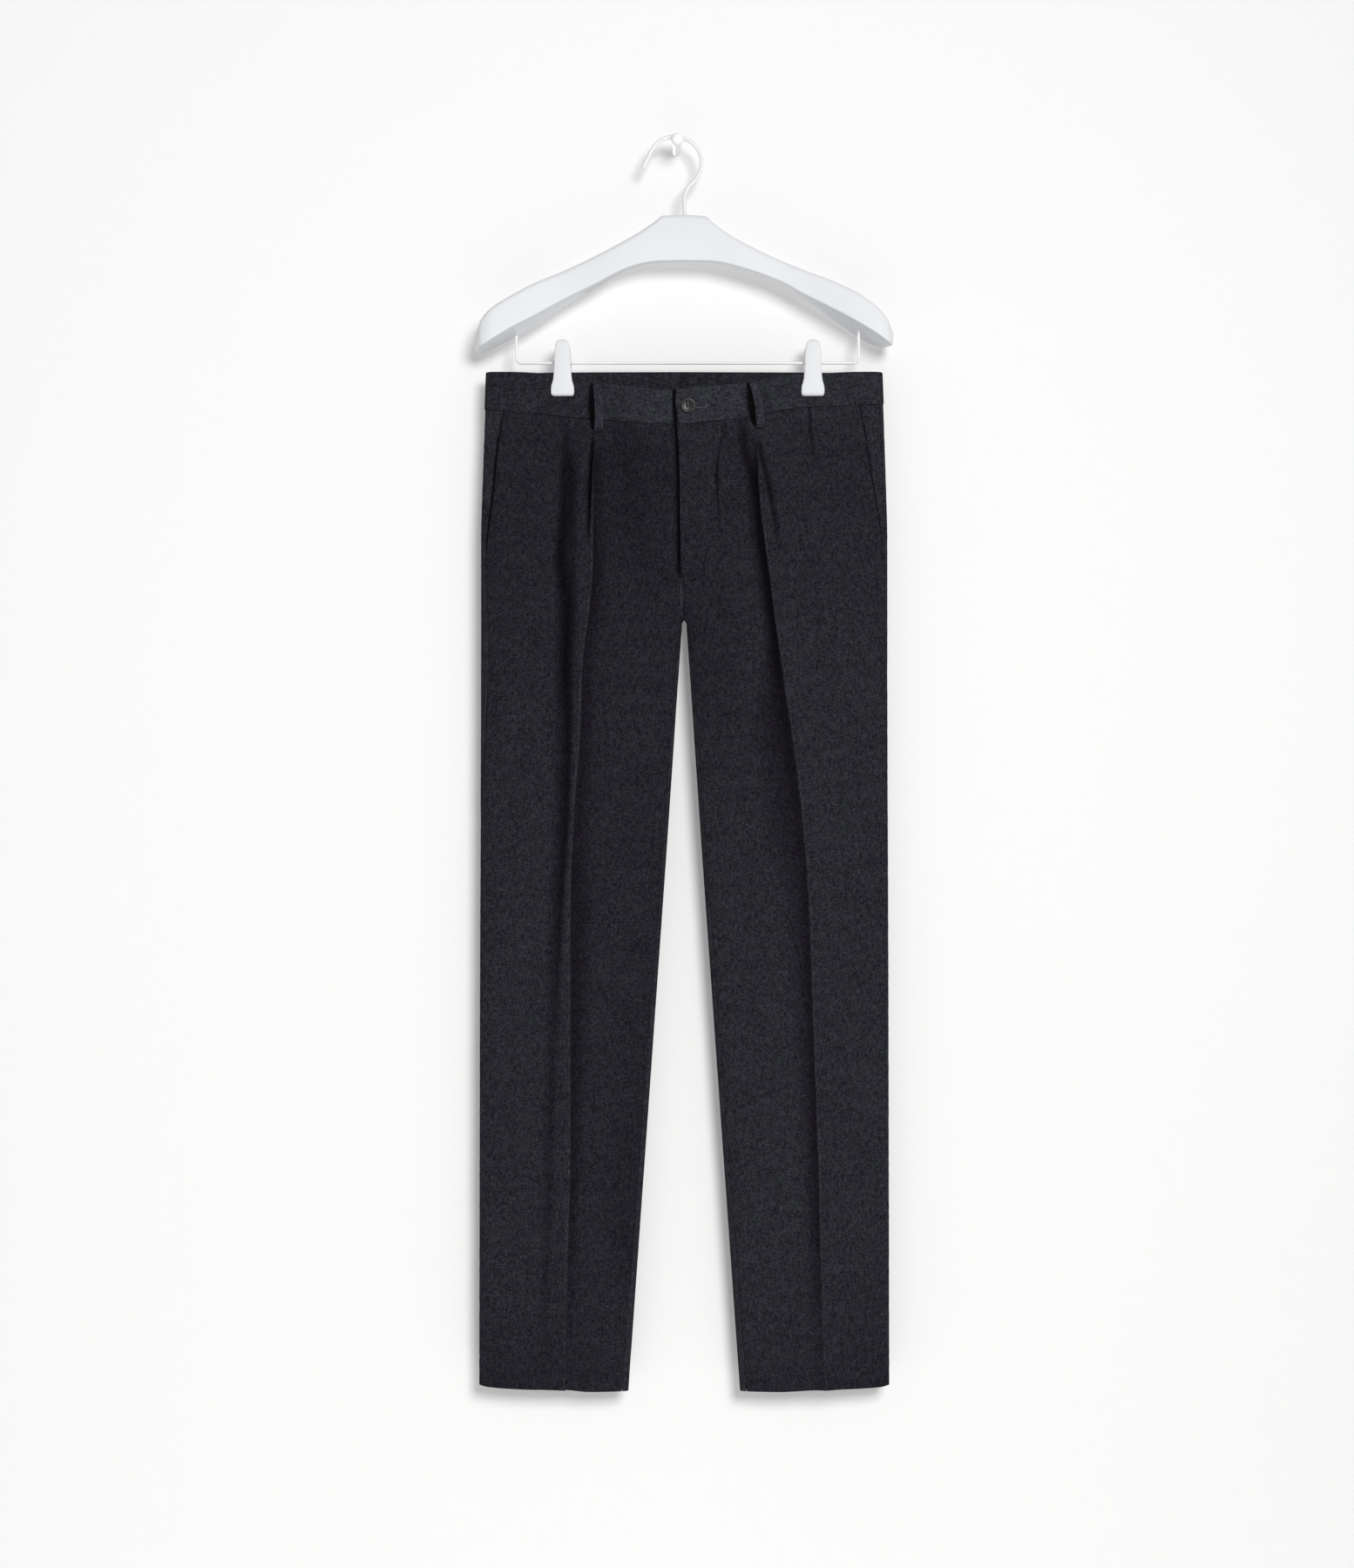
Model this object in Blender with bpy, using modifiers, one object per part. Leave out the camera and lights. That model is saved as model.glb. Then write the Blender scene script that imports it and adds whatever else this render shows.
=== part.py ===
"""Linen chinos hanging by their waistband from a clip hanger on a wall peg.

Metres, +Z up. The wall is the plane y = 0 and the front of the trousers faces -Y. The origin is the middle of
the peg's flat back face. Left and right are the wearer's, so the left leg is at +X. Inside the garment a place
is given by "out", its distance out from the centre line, and "drop", its distance below the top of the waistband.
"""
import math
from collections import namedtuple

import bmesh
import bpy
import numpy as np
from mathutils import Matrix, Vector

# ---------------------------------------------------------------- driving sizes
SEAM_GAP = 0.0003            # clear distance between pieces that meet
PANEL_WALL = 0.0012          # linen with its turned edges
BAND_WALL = 0.0020           # waistband: linen on both sides of a stiffener
LOOP_WALL = 0.0016           # belt loop, folded in three

HANG_X = 0.0077              # the centre line hangs beside the peg, under the hook's shank
HANG_Y = -0.030              # plane of the hanger, in front of the wall
WAIST_TOP = -0.2455          # height of the top of the waistband

WAIST_HALF = 0.2106          # half widths of the flat garment, at the waist, the hip and the hem
HIP_HALF = 0.2162
HEM_HALF = 0.2185
HIP_DROP = 0.178
CROTCH_DROP = 0.265
HEM_DROP = 1.083
RISE_HALF_GAP = 0.00085      # half the gap between the fronts at the crotch, where the seam curves under
CROTCH_HALF_GAP = 0.0015     # half the gap between the legs just under the crotch, and at the hem
HEM_HALF_GAP = 0.0605

CLIP_OUT = {1: 0.1370, -1: 0.1296}    # where each clip grips, by side
CLIP_FLAT = 0.0135           # half width of the stretch of waistband that lies flat in a clip
PINCH = 0.00125              # from the middle plane to the middle of the waistband in a clip
FRONT_SAG = 0.0165           # how far the waistband bows forward between the clips, and back
BACK_SAG = 0.0045
SIDE_BULGE = 0.0028          # how far it opens between a clip and the side
SIDE_ROUND = 0.006           # width of the turned edge at the side of the waistband
PINCH_DROP = 0.028           # the grip reaches this far down, and is gone at RELAX_DROP
RELAX_DROP = 0.110

RISE_SPREAD = 2.0            # above the crotch each leg's form runs on past the centre, by this for each metre up
LENS_POWER = 0.8             # roundness of a leg's edges: 1 is an ellipse, less is fuller

FLY_END = 0.213              # drop at which the fly's overlap ends
FLY_SEWN = 0.224             # drop at which both fronts meet edge to edge again
FLY_UNDER = 0.018            # how far the right front and right waistband run on under the left ones
TAB_OUT = -0.0099            # the waistband tab reaches past the centre line
FLY_LIFT = 0.0019            # how far an overlapping panel lies above the one under it
TAB_LIFT = 0.0026
LIFT_FULL = 0.021            # the overlap lies this high as far as here, and is down again at LIFT_END
LIFT_END = 0.036
FLY_FLAT = 0.237             # drop at which the left front lies level with the right one again

POCKET_END = 0.198           # drop at which the slant pocket closes
POCKET_FLAT = 0.216          # drop at which the front lies level again below its pocket
FACING_UNDER = 0.012         # how far the pocket facing runs on under the front panel
POCKET_LIFT_FULL = 0.016     # the front lies above the facing this far in from its pocket edge
POCKET_LIFT_END = 0.032

BUTTON_RADIUS = 0.0077
BUTTON_OUT = 0.0041
BUTTON_DROP = 0.0390

WIRE_RADIUS = 0.0015         # the bar
HOOK_RADIUS = 0.00215
PEG_RADIUS = 0.0042
PEG_BALL = 0.0070

LINEN = (0.020, 0.020, 0.025, 1.0)
WHITE = (0.80, 0.81, 0.82, 1.0)
HORN = (0.045, 0.040, 0.030, 1.0)


# ---------------------------------------------------------------- tables, read along the drop
def table(columns, *rows):
    """A short table whose first column rises, as one array for each named column."""
    return dict(zip(columns.split(), np.array(rows, dtype=float).T))


def read(rows, column, place):
    """A column's value at a place along the table's first column."""
    key = next(iter(rows))
    return float(np.interp(place, rows[key], rows[column]))


OUTLINE = table(
    "drop out",
    (0.000, WAIST_HALF),
    (0.123, 0.2148),
    (HIP_DROP, HIP_HALF),
    (CROTCH_DROP, HIP_HALF),
    (0.672, 0.2176),
    (HEM_DROP, HEM_HALF),
)

# how far the middle of each leg stands in front of the middle plane, and behind it
FULLNESS = table(
    "drop front back",
    (0.000, 0.006, 0.005),
    (0.060, 0.009, 0.009),
    (0.110, 0.0150, 0.0150),
    (HIP_DROP, 0.0180, 0.0195),
    (CROTCH_DROP, 0.0165, 0.0180),
    (0.400, 0.0140, 0.0145),
    (0.650, 0.0110, 0.0115),
    (0.900, 0.0080, 0.0085),
    (HEM_DROP, 0.0060, 0.0060),
)

# edges of the front waistband against x: its top dips between the clips, and its seam dips with it
FRONT_BAND = table(
    "x top seam",
    (-0.211, 0.0000, 0.0398),
    (-0.173, 0.0005, 0.0431),
    (-0.130, 0.0030, 0.0470),
    (-0.115, 0.0085, 0.0488),
    (-0.086, 0.0125, 0.0514),
    (-0.010, 0.0220, 0.0575),
    (0.029, 0.0176, 0.0541),
    (0.070, 0.0126, 0.0491),
    (0.095, 0.0062, 0.0421),
    (0.133, 0.0016, 0.0369),
    (0.186, 0.0002, 0.0352),
    (0.211, 0.0000, 0.0340),
)
BACK_BAND = table("x top seam", (-0.211, 0.0, 0.0398), (0.211, 0.0, 0.0340))

# the hem hangs a little lower at the inseam than at the side
HEM = table(
    "out drop",
    (0.060, 1.0863),
    (0.097, 1.0863),
    (0.134, 1.0844),
    (0.171, 1.0835),
    (0.209, 1.0816),
    (0.2185, 1.0797),
)

# how far each seam of the back panels comes round to the front
SIDE_WRAP = {
    1: table("drop inset", (0.0, 0.0037), (0.250, 0.0037), (0.330, 0.0000), (1.09, 0.0)),
    -1: table("drop inset", (0.0, 0.0), (0.138, 0.0005), (0.166, 0.0050), (0.203, 0.0050), (0.295, 0.0078),
              (0.368, 0.0060), (0.405, 0.0037), (0.485, 0.0), (1.09, 0.0)),
}
INSEAM_WRAP = table("drop inset", (CROTCH_DROP, 0.0), (0.330, 0.0030), (0.700, 0.0045), (1.09, 0.0065))

# the slant edge of each pocket, and the reach of the left front past the centre line at the fly
POCKET_EDGE = {
    1: table("drop out", (0.034, 0.1848), (0.0707, 0.1919), (0.0958, 0.1950), (0.1255, 0.2002),
             (0.159, 0.2060), (0.205, 0.2122)),
    -1: table("drop out", (0.041, 0.1913), (0.075, 0.1969), (0.134, 0.2020), (0.1665, 0.2067),
              (0.205, 0.2110)),
}
FLY_EDGE = table("drop out", (0.040, -0.0080), (0.070, -0.0058), (FLY_END, -0.0035), (FLY_SEWN, 0.0))

# folds of the fronts: a height is proud of the cloth, a negative one is a groove, and each side has its width
CREASE = {
    1: table(
        "drop out height outer inner",
        (0.040, 0.0745, 0.0000, 0.040, 0.012),
        (0.064, 0.0779, 0.0020, 0.050, 0.012),
        (0.096, 0.0816, 0.0055, 0.050, 0.014),
        (0.159, 0.0849, 0.0070, 0.050, 0.014),
        (0.226, 0.0937, 0.0070, 0.050, 0.016),
        (0.277, 0.0993, 0.0070, 0.045, 0.020),
        (0.334, 0.1086, 0.0070, 0.045, 0.026),
        (0.436, 0.1235, 0.0065, 0.040, 0.026),
        (0.537, 0.1355, 0.0055, 0.035, 0.022),
        (0.717, 0.1426, 0.0050, 0.030, 0.016),
        (0.965, 0.1499, 0.0045, 0.025, 0.014),
        (1.083, 0.1439, 0.0030, 0.020, 0.014),
    ),
    -1: table(
        "drop out height outer inner",
        (0.040, 0.0960, 0.0000, 0.010, 0.008),
        (0.067, 0.0960, 0.0025, 0.012, 0.008),
        (0.100, 0.0965, 0.0055, 0.014, 0.010),
        (0.209, 0.0990, 0.0065, 0.014, 0.012),
        (0.306, 0.1067, 0.0065, 0.015, 0.014),
        (0.436, 0.1156, 0.0060, 0.015, 0.016),
        (0.560, 0.1233, 0.0055, 0.018, 0.016),
        (0.717, 0.1220, 0.0050, 0.020, 0.014),
        (0.897, 0.1220, 0.0045, 0.022, 0.014),
        (1.083, 0.1278, 0.0030, 0.020, 0.012),
    ),
}
PLEAT = {
    1: table(
        "drop out height outer inner",
        (0.036, 0.1337, -0.0020, 0.009, 0.009),
        (0.064, 0.1346, -0.0035, 0.009, 0.009),
        (0.095, 0.1393, -0.0025, 0.010, 0.010),
        (0.135, 0.1420, 0.0000, 0.010, 0.010),
        (0.334, 0.1560, 0.0000, 0.010, 0.010),
        (0.604, 0.1760, 0.0000, 0.010, 0.010),
        (1.083, 0.1790, 0.0000, 0.010, 0.010),
    ),
    -1: table(
        "drop out height outer inner",
        (0.046, 0.1275, -0.0010, 0.010, 0.010),
        (0.072, 0.1270, -0.0035, 0.010, 0.010),
        (0.178, 0.1295, -0.0050, 0.013, 0.012),
        (0.250, 0.1275, -0.0060, 0.014, 0.010),
        (0.363, 0.1285, -0.0060, 0.014, 0.010),
        (0.436, 0.1315, -0.0045, 0.013, 0.011),
        (0.532, 0.1390, -0.0025, 0.012, 0.012),
        (0.671, 0.1430, -0.0018, 0.012, 0.012),
        (0.800, 0.1470, 0.0000, 0.012, 0.012),
        (1.083, 0.1560, 0.0000, 0.012, 0.012),
    ),
}
BACK_CREASE = table(
    "drop out height outer inner",
    (0.100, 0.1080, 0.0000, 0.020, 0.020),
    (0.200, 0.1100, 0.0030, 0.022, 0.022),
    (0.400, 0.1180, 0.0050, 0.024, 0.024),
    (0.700, 0.1300, 0.0045, 0.024, 0.024),
    (1.083, 0.1400, 0.0030, 0.020, 0.020),
)


# ---------------------------------------------------------------- the form of the hung garment
def ramp(value, start, end):
    """0 at start, 1 at end, eased."""
    t = min(max((value - start) / (end - start), 0.0), 1.0)
    return t * t * (3.0 - 2.0 * t)


def outer_edge(drop):
    return read(OUTLINE, "out", drop)


def inner_edge(drop):
    """Distance out to the inner edge of a leg, or to the centre seam above the crotch."""
    if drop < CROTCH_DROP:
        return SEAM_GAP / 2 + (RISE_HALF_GAP - SEAM_GAP / 2) * ramp(drop, FLY_SEWN, CROTCH_DROP)
    along = (drop - CROTCH_DROP) / (HEM_DROP - CROTCH_DROP)
    return CROTCH_HALF_GAP + (HEM_HALF_GAP - CROTCH_HALF_GAP) * along


def waist_depth(out, drop, side, face):
    """Half thickness of the waist: flat in the clips, bowed between them, turned at the sides."""
    own, other = CLIP_OUT[side], CLIP_OUT[-side]
    start, end = -(other - CLIP_FLAT), own - CLIP_FLAT
    bulge = 0.0
    if out < end:
        t = max((out - start) / (end - start), 0.0)
        bulge = (FRONT_SAG if face > 0 else BACK_SAG) * math.sin(math.pi * t) ** 1.5
    elif out > own + CLIP_FLAT:
        t = min((out - own - CLIP_FLAT) / (WAIST_HALF - own - CLIP_FLAT), 1.0)
        bulge = SIDE_BULGE * math.sin(math.pi * t * 0.8) ** 1.5
    to_edge = min(max((outer_edge(drop) - out) / SIDE_ROUND, 0.0), 1.0)
    return (PINCH + bulge) * math.sqrt(1.0 - (1.0 - to_edge) ** 2)


def leg_depth(out, drop, face):
    """Half thickness of a leg: a full lens, which widens into one lens with the other leg's above the crotch."""
    wide, narrow = outer_edge(drop), inner_edge(drop)
    if drop < CROTCH_DROP:
        narrow = max(narrow - RISE_SPREAD * (CROTCH_DROP - drop), -wide)
    across = (2.0 * out - wide - narrow) / (wide - narrow)
    lens = max(1.0 - min(abs(across), 1.0) ** 2, 0.0) ** (LENS_POWER / 2)
    return read(FULLNESS, "front" if face > 0 else "back", drop) * lens


def fold(rows, out, drop):
    """Height of one fold here: a sharp line that flattens away over its width on each side."""
    off = out - read(rows, "out", drop)
    width = read(rows, "outer" if off > 0.0 else "inner", drop)
    return read(rows, "height", drop) * max(1.0 - abs(off) / width, 0.0) ** 1.6


def depth(out, drop, side, face):
    leg = leg_depth(out, drop, face)
    if face > 0:
        leg += fold(CREASE[side], out, drop) + fold(PLEAT[side], out, drop)
    else:
        leg += fold(BACK_CREASE, out, drop)
    relaxed = ramp(drop, PINCH_DROP, RELAX_DROP)
    if relaxed == 1.0:
        return leg
    return waist_depth(out, drop, side, face) * (1.0 - relaxed) + leg * relaxed


JUST_BEHIND = 1e-5           # an angle that puts a point on a seam behind the middle plane
PAST_CENTRE = 0.05           # metres of overlap for each radian past the centre line


def turn(out, drop, face=1):
    """The angle round a leg at a place: 0 at its outer edge, pi at its inner edge, negative behind."""
    wide, narrow = outer_edge(drop), inner_edge(drop)
    if out < narrow:
        return face * (math.pi + (narrow - out) / PAST_CENTRE)
    across = min(max((2.0 * out - wide - narrow) / (wide - narrow), -1.0), 1.0)
    return face * math.acos(across)


def out_at(angle, drop):
    wide, narrow = outer_edge(drop), inner_edge(drop)
    if abs(angle) > math.pi and drop < CROTCH_DROP:
        return narrow - (abs(angle) - math.pi) * PAST_CENTRE
    return (wide + narrow) / 2 + (wide - narrow) / 2 * math.cos(angle)


def on_loop(angle, drop, side):
    out = out_at(angle, drop)
    face = 1 if math.sin(angle) >= 0.0 else -1
    if abs(angle) > math.pi and drop < CROTCH_DROP:
        face = 1 if angle > 0.0 else -1
    own_side, own_out = (side, out) if out >= 0.0 else (-side, -out)
    away = depth(own_out, drop, own_side, face) + SEAM_GAP / 2
    return Vector((side * out, -face * away, WAIST_TOP - drop))


def cloth_point(angle, drop, side, lift=0.0):
    """A point of the garment's form, moved out along the form's own normal."""
    step = 0.01
    here = on_loop(angle, drop, side)
    if lift == 0.0:
        return here
    around = on_loop(angle + step, drop, side) - on_loop(angle - step, drop, side)
    down = on_loop(angle, drop + 0.002, side) - on_loop(angle, drop - 0.002, side)
    normal = side * around.cross(down).normalized()
    return here + lift * normal


# ---------------------------------------------------------------- making things
def clear_scene():
    for thing in list(bpy.data.objects):
        bpy.data.objects.remove(thing, do_unlink=True)


def new_collection(name):
    made = bpy.data.collections.new(name)
    bpy.context.scene.collection.children.link(made)
    return made


def material(name, colour, roughness):
    made = bpy.data.materials.new(name)
    made.use_nodes = True
    shader = made.node_tree.nodes["Principled BSDF"]
    shader.inputs["Base Color"].default_value = colour
    shader.inputs["Roughness"].default_value = roughness
    shader.inputs["Metallic"].default_value = 0.0
    return made


def add_object(name, data, collection, finish, parent=None):
    made = bpy.data.objects.new(name, data)
    colour, roughness = finish
    data.materials.append(material(name, colour, roughness))
    collection.objects.link(made)
    made.parent = parent
    return made


def mesh_from(bm, name):
    mesh = bpy.data.meshes.new(name)
    bm.to_mesh(mesh)
    bm.free()
    return mesh


def sheet_mesh(name, columns, rows, point):
    """An open grid whose corners lie at point(column, row), facing out."""
    bm = bmesh.new()
    bmesh.ops.create_grid(bm, x_segments=columns - 1, y_segments=rows - 1, size=0.5)
    for vertex in bm.verts:
        column = round((vertex.co.x + 0.5) * (columns - 1))
        row = round((0.5 - vertex.co.y) * (rows - 1))
        vertex.co = point(column, row)
    return mesh_from(bm, name)


def cloth(name, columns, rows, point, side, wall, way=1, trim_below=None):
    """A cloth piece: its grid thickened evenly to both sides, and pared off at the centre line if asked.

    way is 1 where the columns follow the angle round the leg, and -1 where they run against it."""
    made = add_object(name, sheet_mesh(name, columns, rows, point), GARMENT, LINEN_FINISH, HANGING)
    if side * way > 0:
        made.data.flip_normals()
    thick = made.modifiers.new("Cloth", "SOLIDIFY")
    thick.thickness = wall
    thick.offset = 0.0
    thick.use_even_offset = True
    thick.use_quality_normals = True
    if trim_below is not None:
        bpy.context.view_layer.update()
        seen = made.evaluated_get(bpy.context.evaluated_depsgraph_get())
        walled = bpy.data.meshes.new_from_object(seen)
        made.modifiers.clear()
        made.data = walled
        for vertex in walled.vertices:
            if vertex.co.z < WAIST_TOP - trim_below:
                vertex.co.x = side * max(side * vertex.co.x, SEAM_GAP / 2)
    return made


def loft(name, rings, finish, parent):
    """A closed solid through rings with the same number of points."""
    bm = bmesh.new()
    made = [[bm.verts.new(point) for point in ring] for ring in rings]
    count = len(made[0])
    for low, high in zip(made, made[1:]):
        for i in range(count):
            bm.faces.new((low[i], low[(i + 1) % count], high[(i + 1) % count], high[i]))
    bm.faces.new(list(reversed(made[0])))
    bm.faces.new(made[-1])
    bmesh.ops.recalc_face_normals(bm, faces=bm.faces)
    mesh = mesh_from(bm, name)
    mesh.shade_smooth()
    mesh.set_sharp_from_angle(angle=math.radians(40))
    return add_object(name, mesh, GARMENT, finish, parent)


def wire(name, points, radius, finish, parent):
    """A round wire along a line of points, with closed ends."""
    curve = bpy.data.curves.new(name, "CURVE")
    curve.dimensions = "3D"
    curve.bevel_depth = radius
    curve.bevel_resolution = 2
    curve.use_fill_caps = True
    spline = curve.splines.new("POLY")
    spline.points.add(len(points) - 1)
    for place, point in zip(spline.points, points):
        place.co = (*point, 1.0)
    return add_object(name, curve, GARMENT, finish, parent)


def arc(centre, radius, start, end, steps):
    """Points of an arc in the hanger's plane, angles in degrees."""
    turned = np.radians(np.linspace(start, end, steps))
    return [Vector((centre[0] + radius * math.cos(a), 0.0, centre[1] + radius * math.sin(a))) for a in turned]


def turned(name, profile, axis, steps, finish, parent, closed=False):
    """A turned piece: a profile of (radius, along) swept round an axis."""
    bm = bmesh.new()
    points = [bm.verts.new((radius, 0.0, along)) for radius, along in profile]
    for first, second in zip(points, points[1:] + points[:1] if closed else points[1:]):
        bm.edges.new((first, second))
    made = add_object(name, mesh_from(bm, name), GARMENT, finish, parent)
    screw = made.modifiers.new("Turn", "SCREW")
    screw.axis = "Z"
    screw.steps = screw.render_steps = steps
    screw.use_merge_vertices = True
    screw.merge_threshold = 0.00005
    made.rotation_euler = Vector((0.0, 0.0, 1.0)).rotation_difference(axis).to_euler()
    return made


def bore(made, place, direction, radius, length):
    """A round socket from a place along a direction, cut with a hidden cylinder."""
    bm = bmesh.new()
    bmesh.ops.create_cone(bm, cap_ends=True, segments=12, radius1=radius, radius2=radius, depth=length)
    turned_to = Vector((0.0, 0.0, 1.0)).rotation_difference(direction).to_matrix().to_4x4()
    middle = Vector(place) + direction.normalized() * length / 2
    bmesh.ops.transform(bm, matrix=Matrix.Translation(middle) @ turned_to, verts=bm.verts)
    cutter = bpy.data.objects.new(made.name + "_socket", mesh_from(bm, made.name + "_socket"))
    CUTTERS.objects.link(cutter)
    cutter.parent = made
    cutter.hide_render = True
    cutter.display_type = "WIRE"
    cut = made.modifiers.new("Socket", "BOOLEAN")
    cut.operation = "DIFFERENCE"
    cut.object = cutter


# ---------------------------------------------------------------- leg panels
ROWS = (0.040, 0.052, 0.066, 0.084, 0.106, 0.130, 0.158, 0.186, FLY_END, FLY_SEWN, 0.238, 0.252, CROTCH_DROP,
        0.282, 0.310, 0.350, 0.405, 0.465, 0.535, 0.610, 0.695, 0.785, 0.880, 0.975, 1.045, HEM_DROP)
FRONT_OUTER = (0.0, 0.035, 0.13, 0.26, 0.42, 0.60, 0.80)    # shares of the way from the side to the pleat
FRONT_INNER = (0.20, 0.38, 0.55, 0.71, 0.86, 0.965, 1.0)    # and from the crease to the fly or the inseam
BACK_OUTER = (0.0, 0.035, 0.14, 0.28, 0.48, 0.74)
BACK_INNER = (0.30, 0.58, 0.80, 0.965, 1.0)
FOLD_REACH = 0.005                                    # a column stands this far to each side of a fold's line


def band_edge(column, x, face):
    return read(FRONT_BAND if face > 0 else BACK_BAND, column, x)


def panel_drop(row, out, side, face):
    """The drop of a row: the first follows the waistband's seam and the last the hem's line."""
    seam = band_edge("seam", side * out, face) + SEAM_GAP - ROWS[0]
    hem = read(HEM, "drop", out) - HEM_DROP
    return row + seam * (1.0 - ramp(row, ROWS[0], 0.158)) + hem * ramp(row, 0.880, HEM_DROP)


def between(start, end, shares):
    return [start + (end - start) * share for share in shares]


def side_seam(drop, side):
    """The angle of the side seam, which the back panel brings round to the front."""
    inset = read(SIDE_WRAP[side], "inset", drop)
    return turn(outer_edge(drop) - inset, drop)


def inseam(drop):
    if drop <= CROTCH_DROP:
        return math.pi
    return turn(inner_edge(drop) + read(INSEAM_WRAP, "inset", drop), drop)


def half_gap(angle, drop):
    """Half a seam's gap as an angle, none where the seam lies right on the edge."""
    return 0.0 if abs(math.sin(angle)) < 0.03 else SEAM_GAP / (outer_edge(drop) - inner_edge(drop)) / math.sin(angle)


def front_columns(drop, side):
    """Angles of a front's columns: pocket edge or side seam, pleat, crease, then fly, centre seam or inseam."""
    start = side_seam(drop, side)
    if drop < POCKET_END + 0.007:
        start = max(start, turn(read(POCKET_EDGE[side], "out", drop), drop))
    start += half_gap(start, drop)
    if drop > FLY_SEWN - 0.001:
        end = inseam(drop)
        end -= half_gap(end, drop)
    elif side > 0:
        end = turn(read(FLY_EDGE, "out", drop), drop)
    else:
        end = turn(-FLY_UNDER, drop) if drop <= FLY_END else math.pi
    pleat, crease = read(PLEAT[side], "out", drop), read(CREASE[side], "out", drop)
    folds = [turn(place + reach, drop) for place in (pleat, crease) for reach in (FOLD_REACH, 0.0, -FOLD_REACH)]
    return between(start, folds[0], FRONT_OUTER) + folds + between(folds[-1], end, FRONT_INNER)


def overlap_lift(out, drop, side):
    """How far a front lies above what it overlaps: the left one at the fly, each one at its pocket edge."""
    pocket = read(POCKET_EDGE[side], "out", drop) - out
    lift = 1.0 - ramp(pocket, POCKET_LIFT_FULL, POCKET_LIFT_END)
    lift *= 1.0 - ramp(drop, POCKET_END, POCKET_FLAT)
    if side > 0:
        lift = max(lift, (1.0 - ramp(out, LIFT_FULL, LIFT_END)) * (1.0 - ramp(drop, FLY_SEWN, FLY_FLAT)))
    return FLY_LIFT * lift


def build_front(name, side):
    grid = []
    for row in ROWS:
        line = []
        for angle in front_columns(row, side):
            out = out_at(angle, row)
            drop = panel_drop(row, out, side, 1)
            line.append(cloth_point(angle, drop, side, overlap_lift(out, drop, side)))
        grid.append(line)
    cloth(name, len(grid[0]), len(ROWS), lambda column, row: grid[row][column], side, PANEL_WALL,
          trim_below=FLY_SEWN + 0.004)


def back_columns(drop, side):
    """Angles of a back's columns, from its side seam round behind to the centre seam or the inseam."""
    start = side_seam(drop, side)
    start -= max(half_gap(start, drop), JUST_BEHIND)
    end = -math.pi
    if drop > CROTCH_DROP:
        seam = inseam(drop)
        end = seam + half_gap(seam, drop) - 2.0 * math.pi
    crease = read(BACK_CREASE, "out", drop)
    folds = [turn(crease + reach, drop, -1) for reach in (FOLD_REACH, 0.0, -FOLD_REACH)]
    return between(start, folds[0], BACK_OUTER) + folds + between(folds[-1], end, BACK_INNER)


def build_back(name, side):
    grid = []
    for row in ROWS:
        line = []
        for angle in back_columns(row, side):
            out = out_at(angle, row)
            face = 1 if math.sin(angle) > 0.0 else -1
            line.append(cloth_point(angle, panel_drop(row, out, side, face), side))
        grid.append(line)
    cloth(name, len(grid[0]), len(ROWS), lambda column, row: grid[row][column], side, PANEL_WALL, way=-1,
          trim_below=0.0)


# ---------------------------------------------------------------- waistband, pocket facings and belt loops
BAND_ROWS = (0.0, 0.35, 0.7, 1.0)
BAND_BOW = (0.055, 0.078, 0.101, 0.112)    # columns along the bowed stretch of the front waistband
BAND_BOW_BACK = (0.090, 0.060, 0.030)
BAND_SIDE = (0.170, 0.190)                 # and between the clip and the side
BAND_TURN = 0.004                          # the side's turn starts this far in
TURN_SHARE = 0.28                          # place of the columns to each side of the turn's middle


def band_columns(side):
    """Angles along a waistband half, from its front end round the side to the centre back."""
    clip = CLIP_OUT[side]
    start = TAB_OUT if side > 0 else -FLY_UNDER
    ends = [clip - CLIP_FLAT, clip, clip + CLIP_FLAT]
    edge = outer_edge(0.0) - BAND_TURN
    front = [start, start + 0.014, LIFT_FULL, LIFT_END, *BAND_BOW, *ends, *BAND_SIDE, edge]
    back = [edge, *reversed(BAND_SIDE), *reversed(ends), *BAND_BOW_BACK, SEAM_GAP / 2]
    near_turn = [way * TURN_SHARE * turn(edge, 0.0) for way in (1, -1)]
    return [turn(out, 0.0) for out in front] + near_turn + [turn(out, 0.0, -1) for out in back]


def band_lift(out, side, face):
    if side < 0 or face < 0:
        return 0.0
    return TAB_LIFT * (1.0 - ramp(out, LIFT_FULL, LIFT_END))


def build_waistband(name, side):
    grid = []
    for share in BAND_ROWS:
        line = []
        for angle in band_columns(side):
            out = out_at(angle, 0.0)
            face = 1 if angle > 0.0 else -1
            top, seam = band_edge("top", side * out, face), band_edge("seam", side * out, face)
            drop = top + (seam - top) * share
            line.append(cloth_point(turn_fixed(angle, out, drop), drop, side, band_lift(out, side, face)))
        grid.append(line)
    cloth(name, len(grid[0]), len(BAND_ROWS), lambda column, row: grid[row][column], side, BAND_WALL)


def turn_fixed(angle, out, drop):
    """The angle at another drop that keeps the same distance from the outer edge, or from the centre line."""
    if out > WAIST_HALF - 0.012:
        shift = outer_edge(drop) - outer_edge(0.0)
        return math.copysign(turn(out + shift, drop), angle)
    return math.copysign(turn(out, drop), angle)


def build_facing(name, side):
    """The strip seen in a pocket's mouth, from under the front's edge to the side seam."""
    rows = [row for row in ROWS if row < POCKET_END - 0.010] + [POCKET_END - 0.004]
    shares = (0.0, 0.08, 0.3, 0.62, 1.0)
    grid = []
    for nominal in rows:
        start = turn(read(POCKET_EDGE[side], "out", nominal) - FACING_UNDER, nominal)
        end = side_seam(nominal, side)
        end += half_gap(end, nominal)
        line = []
        for angle in between(end, start, shares):
            out = out_at(angle, nominal)
            line.append(cloth_point(angle, panel_drop(nominal, out, side, 1), side))
        grid.append(line)
    cloth(name, len(shares), len(rows), lambda column, row: grid[row][column], side, PANEL_WALL)


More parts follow.
